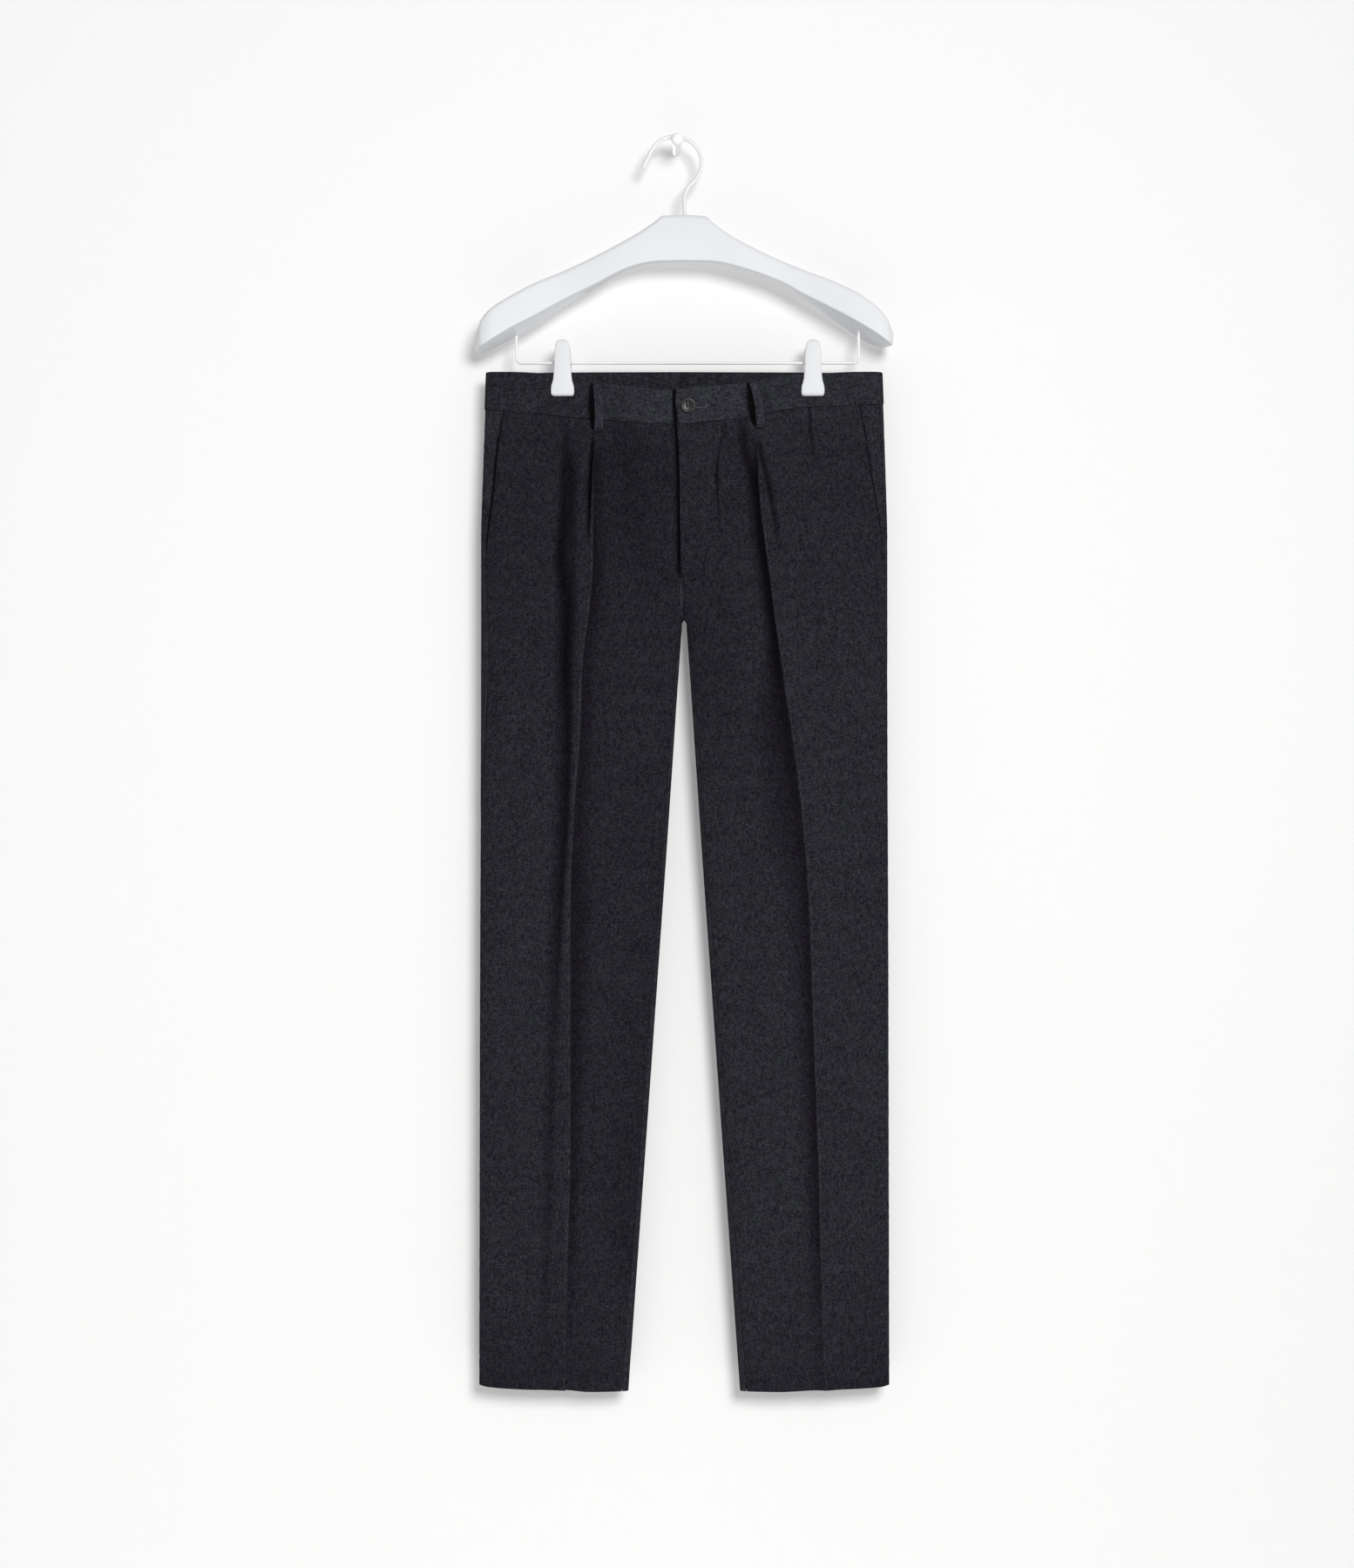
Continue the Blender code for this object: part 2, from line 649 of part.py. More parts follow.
Loop = namedtuple("Loop", "name side face top_out top_drop foot_out foot_drop width")
LOOPS = (
    Loop("loop_front_left", 1, 1, 0.0715, 0.0100, 0.0810, 0.0590, 0.0112),
    Loop("loop_front_right", -1, 1, 0.0935, 0.0110, 0.0915, 0.0600, 0.0110),
    Loop("loop_back_left", 1, -1, 0.1000, 0.0010, 0.1000, 0.0480, 0.0110),
    Loop("loop_back_right", -1, -1, 0.1000, 0.0010, 0.1000, 0.0480, 0.0110),
    Loop("loop_centre_back", 1, -1, 0.0000, 0.0010, 0.0000, 0.0480, 0.0110),
)
LOOP_BOW = 0.0012            # how far a loop stands off the waistband half way down


def build_loop(loop):
    """A belt loop: a strip whose points are the waistband's, moved out."""
    shares = (0.0, 0.2, 0.4, 0.6, 0.8, 1.0)
    lift = BAND_WALL / 2 + SEAM_GAP + LOOP_WALL / 2 + 0.0002

    def point(column, row):
        share = shares[row]
        out = loop.top_out + (loop.foot_out - loop.top_out) * share + loop.width * (column / 2 - 0.5)
        drop = loop.top_drop + (loop.foot_drop - loop.top_drop) * share
        away = lift + LOOP_BOW * math.sin(math.pi * share)
        own_side, own_out = (loop.side, out) if out > 0.0 else (-loop.side, -out)
        return cloth_point(turn(own_out, drop, loop.face), drop, own_side, away)

    cloth(loop.name, 3, len(shares), point, loop.side, LOOP_WALL, way=-loop.face)


# ---------------------------------------------------------------- button
def build_button():
    """A four-hole button with a raised rim, flat on the waistband tab."""
    thickness, rim, hole, spread = 0.0026, 0.0013, 0.0008, 0.0015
    angle = turn(BUTTON_OUT, BUTTON_DROP)
    seat = cloth_point(angle, BUTTON_DROP, 1, TAB_LIFT + BAND_WALL / 2 + 0.0004)
    normal = (cloth_point(angle, BUTTON_DROP, 1, 0.01) - cloth_point(angle, BUTTON_DROP, 1)).normalized()
    profile = [(0.0, thickness * 0.72), (BUTTON_RADIUS - rim * 1.6, thickness * 0.72),
               (BUTTON_RADIUS - rim, thickness), (BUTTON_RADIUS - rim * 0.3, thickness * 0.9),
               (BUTTON_RADIUS, thickness * 0.5), (BUTTON_RADIUS - rim * 0.5, 0.0), (0.0, 0.0)]
    button = turned("waist_button", profile, normal, 24, (HORN, 0.3), HANGING)
    button.location = seat
    for x in (-spread, spread):
        for y in (-spread, spread):
            bore(button, (x, y, -0.001), Vector((0.0, 0.0, 1.0)), hole, 0.006)


# ---------------------------------------------------------------- hanger, clips and peg
# sections of an arm from the middle out: top, lower front edge, how much lower the rear edge is, and depth
ARM = table(
    "out top low rear deep",
    (0.0000, -0.0803, -0.1280, 0.0000, 0.020),
    (0.0225, -0.0812, -0.1284, 0.0000, 0.020),
    (0.0325, -0.0900, -0.1291, 0.0000, 0.021),
    (0.0540, -0.1067, -0.1345, 0.0000, 0.022),
    (0.0986, -0.1304, -0.1553, 0.0005, 0.026),
    (0.1280, -0.1430, -0.1706, 0.0030, 0.030),
    (0.1570, -0.1536, -0.1830, 0.0070, 0.036),
    (0.1870, -0.1661, -0.1956, 0.0095, 0.041),
    (0.2040, -0.1772, -0.2048, 0.0095, 0.043),
    (0.2150, -0.1880, -0.2120, 0.0070, 0.040),
    (0.2210, -0.2000, -0.2155, 0.0020, 0.028),
)
LOW_ARM_SAG = 0.0075         # the right arm's end hangs this much lower than the left one's


def arm_sag(out, side):
    return 0.0 if side > 0 else LOW_ARM_SAG * max((out - 0.098) / 0.115, 0.0) ** 1.5


def arm_ring(out, side):
    """One section of an arm: flat in front, rounded on top, its underside falling to the rear."""
    sag = arm_sag(out, side)
    top, low = read(ARM, "top", out) - sag, read(ARM, "low", out) - sag
    rear, half = read(ARM, "rear", out), read(ARM, "deep", out) / 2
    round_top = min(0.008, (top - low) * 0.4)
    round_low = min(0.0025, (top - low) * 0.15)
    corners = ((-half, low, round_low, 180), (half, low - rear, round_low, 270),
               (half, top - rear * 0.5, round_top, 0), (-half, top, round_top, 90))
    ring = []
    for y, z, radius, start in corners:
        centre_y = y + radius if y < 0 else y - radius
        centre_z = z - radius if start in (0, 90) else z + radius
        for step in (0, 45, 90):
            a = math.radians(start + step)
            ring.append(Vector((side * out, centre_y + radius * math.cos(a), centre_z + radius * math.sin(a))))
    return ring


def build_hanger_body():
    outs = list(ARM["out"])
    rings = [arm_ring(out, -1) for out in reversed(outs[1:])] + [arm_ring(out, 1) for out in outs]
    body = loft("hanger_body", rings, (WHITE, 0.35), HANGING)
    top = read(ARM, "top", 0.0)
    bore(body, (0.0, 0.0, top + 0.001), Vector((0.0, 0.0, -1.0)), HOOK_RADIUS + SEAM_GAP, 0.013)
    for side, out in BAR_ENDS.items():
        start = (side * out, 0.0, BAR_SOCKET[side] - 0.020)
        bore(body, start, Vector((0.0, 0.0, 1.0)), WIRE_RADIUS + SEAM_GAP, 0.020 + SEAM_GAP)


HOOK_BEND = 0.02835
HOOK_CENTRE = (-HANG_X - 0.0023, PEG_RADIUS + SEAM_GAP + HOOK_RADIUS - HOOK_BEND)
HOOK_BACK_BEND = 0.0223
HOOK_TURN = 50.0             # degrees that the bend runs on below the level of its middle
HOOK_TIP = 0.018


def build_hook():
    """The hook: shank, a reverse bend, the big bend over the peg, and a straight tip."""
    bend = arc(HOOK_CENTRE, HOOK_BEND, 155.0, -HOOK_TURN, 22)
    leaving = math.radians(-HOOK_TURN)
    middle = (HOOK_CENTRE[0] + (HOOK_BEND + HOOK_BACK_BEND) * math.cos(leaving),
              HOOK_CENTRE[1] + (HOOK_BEND + HOOK_BACK_BEND) * math.sin(leaving))
    back = arc(middle, HOOK_BACK_BEND, 180.0 - HOOK_TURN, 180.0, 7)[1:]
    shank_x = back[-1].x
    tip_way = math.radians(155.0 + 90.0)
    tip = bend[0] + HOOK_TIP * Vector((math.cos(tip_way), 0.0, math.sin(tip_way)))
    foot = Vector((shank_x, 0.0, read(ARM, "top", 0.0) - 0.010))
    wire("hanger_hook", [tip] + bend + back + [foot], HOOK_RADIUS, (WHITE, 0.25), HANGING)
    return shank_x


BAR_Z = -0.2353
BAR_BEND = 0.006
BAR_ENDS = {1: 0.1863, -1: 0.1792}
BAR_SOCKET = {1: -0.1900, -1: -0.1930}    # top of the hole that takes each end of the bar


def build_bar():
    """The trouser bar: one wire, bent up at both ends into the arms."""
    right = Vector((-BAR_ENDS[-1], 0.0, BAR_SOCKET[-1] - 0.001))
    left = Vector((BAR_ENDS[1], 0.0, BAR_SOCKET[1] - 0.001))
    low = BAR_Z + BAR_BEND
    points = [right] + arc((right.x + BAR_BEND, low), BAR_BEND, 180.0, 270.0, 6) \
        + arc((left.x - BAR_BEND, low), BAR_BEND, 270.0, 360.0, 6) + [left]
    wire("hanger_bar", points, WIRE_RADIUS, (WHITE, 0.25), HANGING)


# a jaw from its top down: height, half width, distance of its inner face from the middle plane, thickness
JAW = table(
    "z half inner thick",
    (-0.2713, 0.0108, 0.00255, 0.0034),
    (-0.2690, 0.0119, 0.00255, 0.0045),
    (-0.2620, 0.0113, 0.00255, 0.0048),
    (-0.2540, 0.0094, 0.00320, 0.0046),
    (-0.2460, 0.0086, 0.00400, 0.0043),
    (-0.2350, 0.0085, 0.00500, 0.0040),
    (-0.2200, 0.0081, 0.00620, 0.0036),
    (-0.2145, 0.0073, 0.00650, 0.0030),
    (-0.2120, 0.0050, 0.00660, 0.0018),
)
SLEEVE_HALF = 0.0070


def build_clip(name, side):
    """A clip: two moulded jaws that grip the waistband, on a sleeve that slides on the bar."""
    middle = side * CLIP_OUT[side]
    for face, label in ((1, "front"), (-1, "back")):
        rings = []
        for z, half, inner, thick in zip(*JAW.values()):
            near, far = -face * inner, -face * (inner + thick)
            ring = [Vector((middle - half, near, z)), Vector((middle + half, near, z)),
                    Vector((middle + half, far + face * thick * 0.45, z)), Vector((middle + half * 0.8, far, z)),
                    Vector((middle - half * 0.8, far, z)), Vector((middle - half, far + face * thick * 0.45, z))]
            rings.append(ring)
        loft(f"{name}_{label}_jaw", rings, (WHITE, 0.4), HANGING)
    outer = read(JAW, "inner", BAR_Z) - SEAM_GAP
    bore_radius = WIRE_RADIUS + SEAM_GAP
    profile = [(outer, SLEEVE_HALF), (outer, -SLEEVE_HALF), (bore_radius, -SLEEVE_HALF), (bore_radius, SLEEVE_HALF)]
    sleeve = turned(f"{name}_sleeve", profile, Vector((1.0, 0.0, 0.0)), 16, (WHITE, 0.4), HANGING, closed=True)
    sleeve.location = (middle, 0.0, BAR_Z)


def build_peg():
    """The wall peg: a plain shaft with a ball end that keeps the hook on, its back flat on the wall."""
    neck = -HANG_Y + HOOK_RADIUS + 0.003
    ball = neck + math.sqrt(PEG_BALL ** 2 - PEG_RADIUS ** 2)
    first = math.asin(PEG_RADIUS / PEG_BALL)
    dome = [(PEG_BALL * math.sin(a), ball - PEG_BALL * math.cos(a)) for a in np.linspace(first, math.pi, 9)]
    dome[-1] = (0.0, ball + PEG_BALL)
    profile = [(0.0, 0.0), (PEG_RADIUS, 0.0)] + dome
    turned("wall_peg", profile[::-1], Vector((0.0, -1.0, 0.0)), 24, (WHITE, 0.4), None)


# ---------------------------------------------------------------- the whole
clear_scene()
GARMENT = new_collection("linen_chinos_on_clip_hanger")
CUTTERS = new_collection("cutters")
LINEN_FINISH = (LINEN, 0.9)
HANGING = bpy.data.objects.new("hanging_place", None)
HANGING.location = (HANG_X, HANG_Y, 0.0)
GARMENT.objects.link(HANGING)

for side, label in ((1, "left"), (-1, "right")):
    build_front(f"front_{label}", side)
    build_back(f"back_{label}", side)
    build_waistband(f"waistband_{label}", side)
    build_facing(f"pocket_facing_{label}", side)
    build_clip(f"clip_{label}", side)
for loop in LOOPS:
    build_loop(loop)
build_button()
build_hanger_body()
build_hook()
build_bar()
build_peg()
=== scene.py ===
"""The looks of the linen chinos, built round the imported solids.

Metres, +Z up. The wall is the plane y = 0 and the front of the trousers faces -Y. Left and right are the
wearer's, so the left leg is at +X. On the garment, "out" is the distance out from its centre line and "drop"
the distance below the top of its waistband.
"""
import math
from collections import namedtuple

import bpy
import numpy as np
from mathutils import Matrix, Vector


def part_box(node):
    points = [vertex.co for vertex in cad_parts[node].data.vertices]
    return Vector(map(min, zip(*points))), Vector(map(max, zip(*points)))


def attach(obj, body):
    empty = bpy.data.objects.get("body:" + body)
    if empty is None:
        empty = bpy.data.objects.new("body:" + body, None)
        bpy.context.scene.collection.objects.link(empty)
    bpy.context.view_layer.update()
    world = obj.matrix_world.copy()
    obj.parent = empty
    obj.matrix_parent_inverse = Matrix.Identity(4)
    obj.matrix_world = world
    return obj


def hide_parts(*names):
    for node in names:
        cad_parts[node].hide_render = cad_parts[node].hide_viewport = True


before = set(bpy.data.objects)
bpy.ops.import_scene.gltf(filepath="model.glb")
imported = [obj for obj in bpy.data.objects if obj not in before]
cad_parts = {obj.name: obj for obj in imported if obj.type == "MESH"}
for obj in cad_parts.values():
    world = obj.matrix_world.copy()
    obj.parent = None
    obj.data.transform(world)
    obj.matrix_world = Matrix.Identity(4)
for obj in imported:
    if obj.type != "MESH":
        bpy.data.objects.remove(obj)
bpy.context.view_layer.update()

# ---------------------------------------------------------------- the room
# A plain pale wall behind the peg, a pale floor well below the hems, and even studio light: a broad lamp in
# front, on the right, a gentler one behind, and a bright pale room. The wall is seen from its front only.
WALL_TONE = (0.60, 0.60, 0.60, 1.0)
WALL_GLOW = 0.157                     # painted light: the wall glows by itself, which lifts the shadows cast on it
GLOW_RISE, GLOW_ACROSS = 0.94, -0.19  # how the painted glow changes a unit up the wall, and a unit to its right, evening out the lamps
WALL_TOP, WALL_BREADTH = 0.5, 2.1
FLOOR_TONE = (0.84, 0.84, 0.84, 1.0)
FLOOR_Z, FLOOR_BREADTH = -1.90, 9.0
ROOM_LIGHT = 0.335
ROOM_COLOUR = (0.985, 0.992, 1.0, 1.0)
ROOM_SEEN = (0.93, 0.93, 0.935, 1.0)  # what the camera sees past the wall
LAMPS = (
    ("lamp", Vector((0.68, -2.40, 0.24)), 9.6),
    ("rear_lamp", Vector((-0.90, 2.40, 0.20)), 6.5),
)
LAMP_AIM = Vector((-0.35, 0.0, -1.35))
LAMP_BREADTH = 1.0
LAMP_COLOUR = (1.0, 0.995, 0.985)
CAMERA_PLACE = (0.0, -2.030, -0.6845)
CAMERA_ANGLE = 45.42


def new_material(name):
    """A new material, its node tree and its Principled shader."""
    made = bpy.data.materials.new(name)
    made.use_nodes = True
    return made, made.node_tree, made.node_tree.nodes["Principled BSDF"]


def set_inputs(node, values):
    for name, value in values.items():
        node.inputs[name].default_value = value


def put(tree, kind, sources=(), output=0, **settings):
    """A node with its settings and inputs, given by name or in order; gives back one of its outputs."""
    made = tree.nodes.new(kind)
    for key, value in settings.items():
        setattr(made, key, value)
    pairs = sources.items() if isinstance(sources, dict) else enumerate(sources)
    for key, source in pairs:
        if isinstance(source, bpy.types.NodeSocket):
            tree.links.new(source, made.inputs[key])
        elif source is not None:
            made.inputs[key].default_value = source
    return made.outputs[output]


def deselect_all():
    bpy.ops.object.select_all(action="DESELECT")


deselect_all()
bpy.ops.mesh.primitive_plane_add(size=1.0, location=(0.0, 0.0004, (FLOOR_Z + WALL_TOP) / 2),
                                 rotation=(math.pi / 2, 0, 0))
wall = bpy.context.object
wall.name = "wall"
wall.scale = (WALL_BREADTH, WALL_TOP - FLOOR_Z, 1.0)
wall.visible_shadow = False
wall_paint, tree, shader = new_material("wall_paint")
set_inputs(shader, {"Base Color": WALL_TONE, "Roughness": 0.95, "Specular IOR Level": 0.0,
                    "Emission Strength": WALL_GLOW})
place = tree.nodes.new("ShaderNodeSeparateXYZ")
tree.links.new(put(tree, "ShaderNodeTexCoord", output="Object"), place.inputs[0])
# Painted light: a glow that grows up the wall and towards its left, lifting the shadows cast on it.
glow = put(tree, "ShaderNodeMath", (place.outputs[1], GLOW_RISE, 1.0), operation="MULTIPLY_ADD")
glow = put(tree, "ShaderNodeMath", (place.outputs[0], GLOW_ACROSS, glow), operation="MULTIPLY_ADD")
tree.links.new(glow, shader.inputs["Emission Color"])
clear = put(tree, "ShaderNodeBsdfTransparent")
behind = put(tree, "ShaderNodeNewGeometry", output="Backfacing")
one_sided = put(tree, "ShaderNodeMixShader", (behind, shader.outputs[0], clear))
tree.links.new(one_sided, tree.nodes["Material Output"].inputs["Surface"])
wall.data.materials.append(wall_paint)

deselect_all()
bpy.ops.mesh.primitive_plane_add(size=FLOOR_BREADTH, location=(0.0, 0.0, FLOOR_Z))
floor = bpy.context.object
floor.name = "floor"
floor_paint, tree, shader = new_material("floor_paint")
set_inputs(shader, {"Base Color": FLOOR_TONE, "Roughness": 0.9})
floor.data.materials.append(floor_paint)

for name, place, power in LAMPS:
    deselect_all()
    bpy.ops.object.light_add(type="AREA", location=place)
    lamp = bpy.context.object
    lamp.name = name
    lamp.rotation_euler = (LAMP_AIM - place).to_track_quat("-Z", "Y").to_euler()
    lamp.visible_camera = False
    lamp.data.shape = "DISK"
    lamp.data.size = LAMP_BREADTH
    lamp.data.energy = power
    lamp.data.color = LAMP_COLOUR
    lamp.data.use_nodes = True
    even = put(lamp.data.node_tree, "ShaderNodeLightFalloff", {"Strength": 1.0}, output="Constant")
    lamp.data.node_tree.links.new(even, lamp.data.node_tree.nodes["Emission"].inputs["Strength"])

room = bpy.data.worlds.new("room")
room.use_nodes = True
set_inputs(room.node_tree.nodes["Background"], {"Color": ROOM_COLOUR, "Strength": ROOM_LIGHT})
seen = put(room.node_tree, "ShaderNodeBackground", (ROOM_SEEN, 1.0))
straight = put(room.node_tree, "ShaderNodeLightPath", output="Is Camera Ray")
sky = put(room.node_tree, "ShaderNodeMixShader",
          (straight, room.node_tree.nodes["Background"].outputs[0], seen))
room.node_tree.links.new(sky, room.node_tree.nodes["World Output"].inputs["Surface"])
bpy.context.scene.world = room
bpy.context.scene.view_settings.view_transform = "Standard"

deselect_all()
bpy.ops.object.camera_add(location=CAMERA_PLACE, rotation=(math.pi / 2, 0.0, 0.0))
camera = bpy.context.object
camera.name = "camera"
camera.data.sensor_fit = "VERTICAL"
camera.data.angle = math.radians(CAMERA_ANGLE)
bpy.context.scene.camera = camera

# ---------------------------------------------------------------- the front panels
# Two fronts of dark washed linen, each cut in one from waist seam to hem, with a pressed crease that runs up
# into soft pleats at the waist. They are sewn to the backs along the side and the inseam and to each other
# below the fly. Each is a thin shell of cloth laid over the hung form, with its folds set one by one.
SIDES = ((1, "left"), (-1, "right"))
HANGING_PLACE = np.array((0.0077, -0.030, 0.0))
WAIST_TOP = -0.2455
WAIST_HALF = 0.2106
WAIST_ROW = 0.040                     # the drop of the panels' first row, before it follows the waist seam
CROTCH_DROP = 0.265
HEM_DROP = 1.083
SEAM_GAP = 0.0003
PANEL_WALL = 0.0012
LAP = 0.05                            # how far past the inner edge the cloth goes with each radian of turn


def table(columns, *rows):
    """A short table whose first column rises, as one array for each named column."""
    return dict(zip(columns.split(), np.array(rows, dtype=float).T))


def read(rows, column, place):
    """A column's value at places along the first column, eased from row to row and never past them."""
    x, y = rows[next(iter(rows))], rows[column]
    place = np.clip(place, x[0], x[-1])
    step = np.diff(x)
    rise = np.diff(y) / step
    slope = np.concatenate((rise[:1], np.zeros(len(x) - 2), rise[-1:]))
    onward = rise[:-1] * rise[1:] > 0.0
    both = np.where(onward, rise[:-1] + rise[1:], 1.0)
    slope[1:-1] = np.where(onward, 2.0 * rise[:-1] * rise[1:] / both, 0.0)
    i = np.clip(np.searchsorted(x, place, side="right") - 1, 0, len(x) - 2)
    t = (place - x[i]) / step[i]
    return ((1 + 2 * t) * (1 - t) ** 2 * y[i] + t * (1 - t) ** 2 * step[i] * slope[i]
            + t * t * (3 - 2 * t) * y[i + 1] + t * t * (t - 1) * step[i] * slope[i + 1])


def ramp(value, start, end):
    """0 at start, 1 at end, eased."""
    t = np.clip((value - start) / (end - start), 0.0, 1.0)
    return t * t * (3.0 - 2.0 * t)


OUTLINE = table("drop out", (0.0, WAIST_HALF), (0.123, 0.2148), (0.178, 0.2162), (CROTCH_DROP, 0.2162),
                (0.672, 0.2176), (HEM_DROP, 0.2185))
FULLNESS = table(
    "drop front back",
    (0.0, 0.006, 0.005), (0.06, 0.009, 0.009), (0.11, 0.015, 0.015), (0.178, 0.018, 0.0195),
    (CROTCH_DROP, 0.0165, 0.018), (0.4, 0.014, 0.0145), (0.65, 0.011, 0.0115), (0.9, 0.008, 0.0085),
    (HEM_DROP, 0.006, 0.006))
FRONT_BAND = table(
    "x top seam",
    (-0.211, 0.0, 0.0398), (-0.173, 0.0005, 0.0431), (-0.13, 0.003, 0.047), (-0.115, 0.0085, 0.0488),
    (-0.086, 0.0125, 0.0514), (-0.01, 0.022, 0.0575), (0.029, 0.0176, 0.0541), (0.07, 0.0126, 0.0491),
    (0.095, 0.0062, 0.0421), (0.133, 0.0016, 0.0369), (0.186, 0.0002, 0.0352), (0.211, 0.0, 0.034))
BACK_BAND = table(
    "x top seam",
    (-0.211, 0.0, 0.0398), (-0.12, -0.0008, 0.0386), (0.0, -0.0022, 0.0369), (0.12, -0.0008, 0.0352),
    (0.211, 0.0, 0.034))
HEM = table("out drop", (0.06, 1.0863), (0.097, 1.0863), (0.134, 1.0844), (0.171, 1.0835), (0.209, 1.0816),
            (0.2185, 1.0797))
SIDE_WRAP = {
    1: table("drop inset", (0.0, 0.0037), (0.25, 0.0037), (0.33, 0.0), (1.09, 0.0)),
    -1: table("drop inset", (0.0, 0.0), (0.138, 0.0005), (0.166, 0.005), (0.203, 0.005), (0.295, 0.0078),
              (0.368, 0.006), (0.405, 0.0037), (0.485, 0.0), (1.09, 0.0)),
}
INSEAM_WRAP = table("drop inset", (CROTCH_DROP, 0.0), (0.33, 0.003), (0.7, 0.0045), (1.09, 0.0065))
POCKET_EDGE = {
    1: table("drop out", (0.034, 0.1848), (0.0707, 0.1919), (0.0958, 0.195), (0.1255, 0.2002),
             (0.159, 0.206), (0.205, 0.2122)),
    -1: table("drop out", (0.041, 0.1913), (0.075, 0.1969), (0.134, 0.202), (0.1665, 0.2067),
              (0.205, 0.211)),
}
POCKET_END = 0.198
FLY_END, FLY_SEWN, FLY_FLAT = 0.213, 0.224, 0.237
FLY_UNDER = 0.018
FLY_EDGE = table("drop out", (0.04, -0.008), (0.07, -0.0058), (FLY_END, -0.0035), (FLY_SEWN, 0.0))
CLIP_OUT = {1: 0.1370, -1: 0.1296}
CLIP_FLAT = 0.0135
BAND_HALF = 0.00125                   # half thickness of the waist where it is pressed flat
WAIST_BOW = {1: 0.0165, -1: 0.0045}   # how far the waist bows out between the clips, by face
SIDE_BOW = 0.0028                     # and between a clip and the side
EDGE_TURN = 0.006
POCKET_GAPE, POCKET_BOW = 0.0013, 0.0019
FLY_LIFT = 0.0030

# A fold's heights are proud of the cloth, and negative ones are grooves. Its place is measured out from the
# centre line or from the pressed crease. It is a sharp line, a soft one, or a step down on its inner side.
Fold = namedtuple("Fold", "measured_from line rows")
FOLD_COLUMNS = "drop out height outer inner"


def fold_of(measured_from, line, *rows, reach=()):
    """A fold from its rows. Its reach outwards and inwards can be given once, where it never changes."""
    return Fold(measured_from, line, table(FOLD_COLUMNS, *(row + reach for row in rows)))


CREASE = {
    1: table(
        FOLD_COLUMNS,
        (0.04, 0.0745, 0.0, 0.04, 0.012), (0.064, 0.0765, 0.002, 0.05, 0.012),
        (0.096, 0.0785, 0.0055, 0.05, 0.014), (0.123, 0.0797, 0.0066, 0.05, 0.014),
        (0.16, 0.083, 0.007, 0.05, 0.014), (0.216, 0.0905, 0.007, 0.05, 0.015),
        (0.272, 0.0979, 0.007, 0.045, 0.019), (0.337, 0.1072, 0.007, 0.045, 0.026),
        (0.402, 0.1169, 0.0068, 0.042, 0.026), (0.476, 0.1258, 0.006, 0.038, 0.022),
        (0.569, 0.1332, 0.0054, 0.034, 0.016), (0.672, 0.1368, 0.005, 0.03, 0.012),
        (0.811, 0.1421, 0.0047, 0.028, 0.011), (0.95, 0.146, 0.0044, 0.025, 0.011),
        (1.083, 0.15, 0.003, 0.02, 0.011)),
    -1: table(
        FOLD_COLUMNS,
        (0.04, 0.096, 0.0, 0.0022, 0.006), (0.067, 0.096, 0.001, 0.0022, 0.006),
        (0.09, 0.0964, 0.0024, 0.0022, 0.006), (0.16, 0.0975, 0.0026, 0.003, 0.01),
        (0.209, 0.098, 0.0024, 0.006, 0.01), (0.253, 0.1016, 0.0022, 0.008, 0.008),
        (0.309, 0.1086, 0.002, 0.009, 0.006), (0.383, 0.1113, 0.0018, 0.01, 0.005),
        (0.476, 0.118, 0.0018, 0.012, 0.005), (0.569, 0.1216, 0.0018, 0.014, 0.005),
        (0.811, 0.1218, 0.0016, 0.014, 0.005), (0.95, 0.125, 0.0014, 0.014, 0.005),
        (1.083, 0.1278, 0.001, 0.014, 0.005)),
}
PLEAT = {
    1: table(
        FOLD_COLUMNS,
        (0.036, 0.1337, -0.002, 0.0045, 0.0045), (0.064, 0.1346, -0.0035, 0.005, 0.005),
        (0.095, 0.1393, -0.0025, 0.008, 0.008), (0.135, 0.142, 0.0, 0.01, 0.01),
        (0.334, 0.156, 0.0, 0.01, 0.01), (0.604, 0.176, 0.0, 0.01, 0.01), (1.083, 0.179, 0.0, 0.01, 0.01)),
    -1: table(
        FOLD_COLUMNS,
        (0.046, 0.1275, -0.002, 0.004, 0.004), (0.072, 0.127, -0.0035, 0.004, 0.004),
        (0.104, 0.1276, -0.0045, 0.006, 0.014), (0.141, 0.1295, -0.005, 0.006, 0.018),
        (0.197, 0.1318, -0.0058, 0.007, 0.018), (0.253, 0.127, -0.006, 0.012, 0.016),
        (0.309, 0.1277, -0.006, 0.012, 0.014), (0.383, 0.1255, -0.0052, 0.018, 0.009),
        (0.476, 0.128, -0.0045, 0.016, 0.007), (0.569, 0.134, -0.0036, 0.014, 0.008),
        (0.672, 0.1383, -0.0028, 0.01, 0.008), (0.811, 0.1432, -0.0024, 0.009, 0.008),
        (0.95, 0.1478, -0.0016, 0.009, 0.008), (1.083, 0.15, -0.0006, 0.009, 0.008)),
}
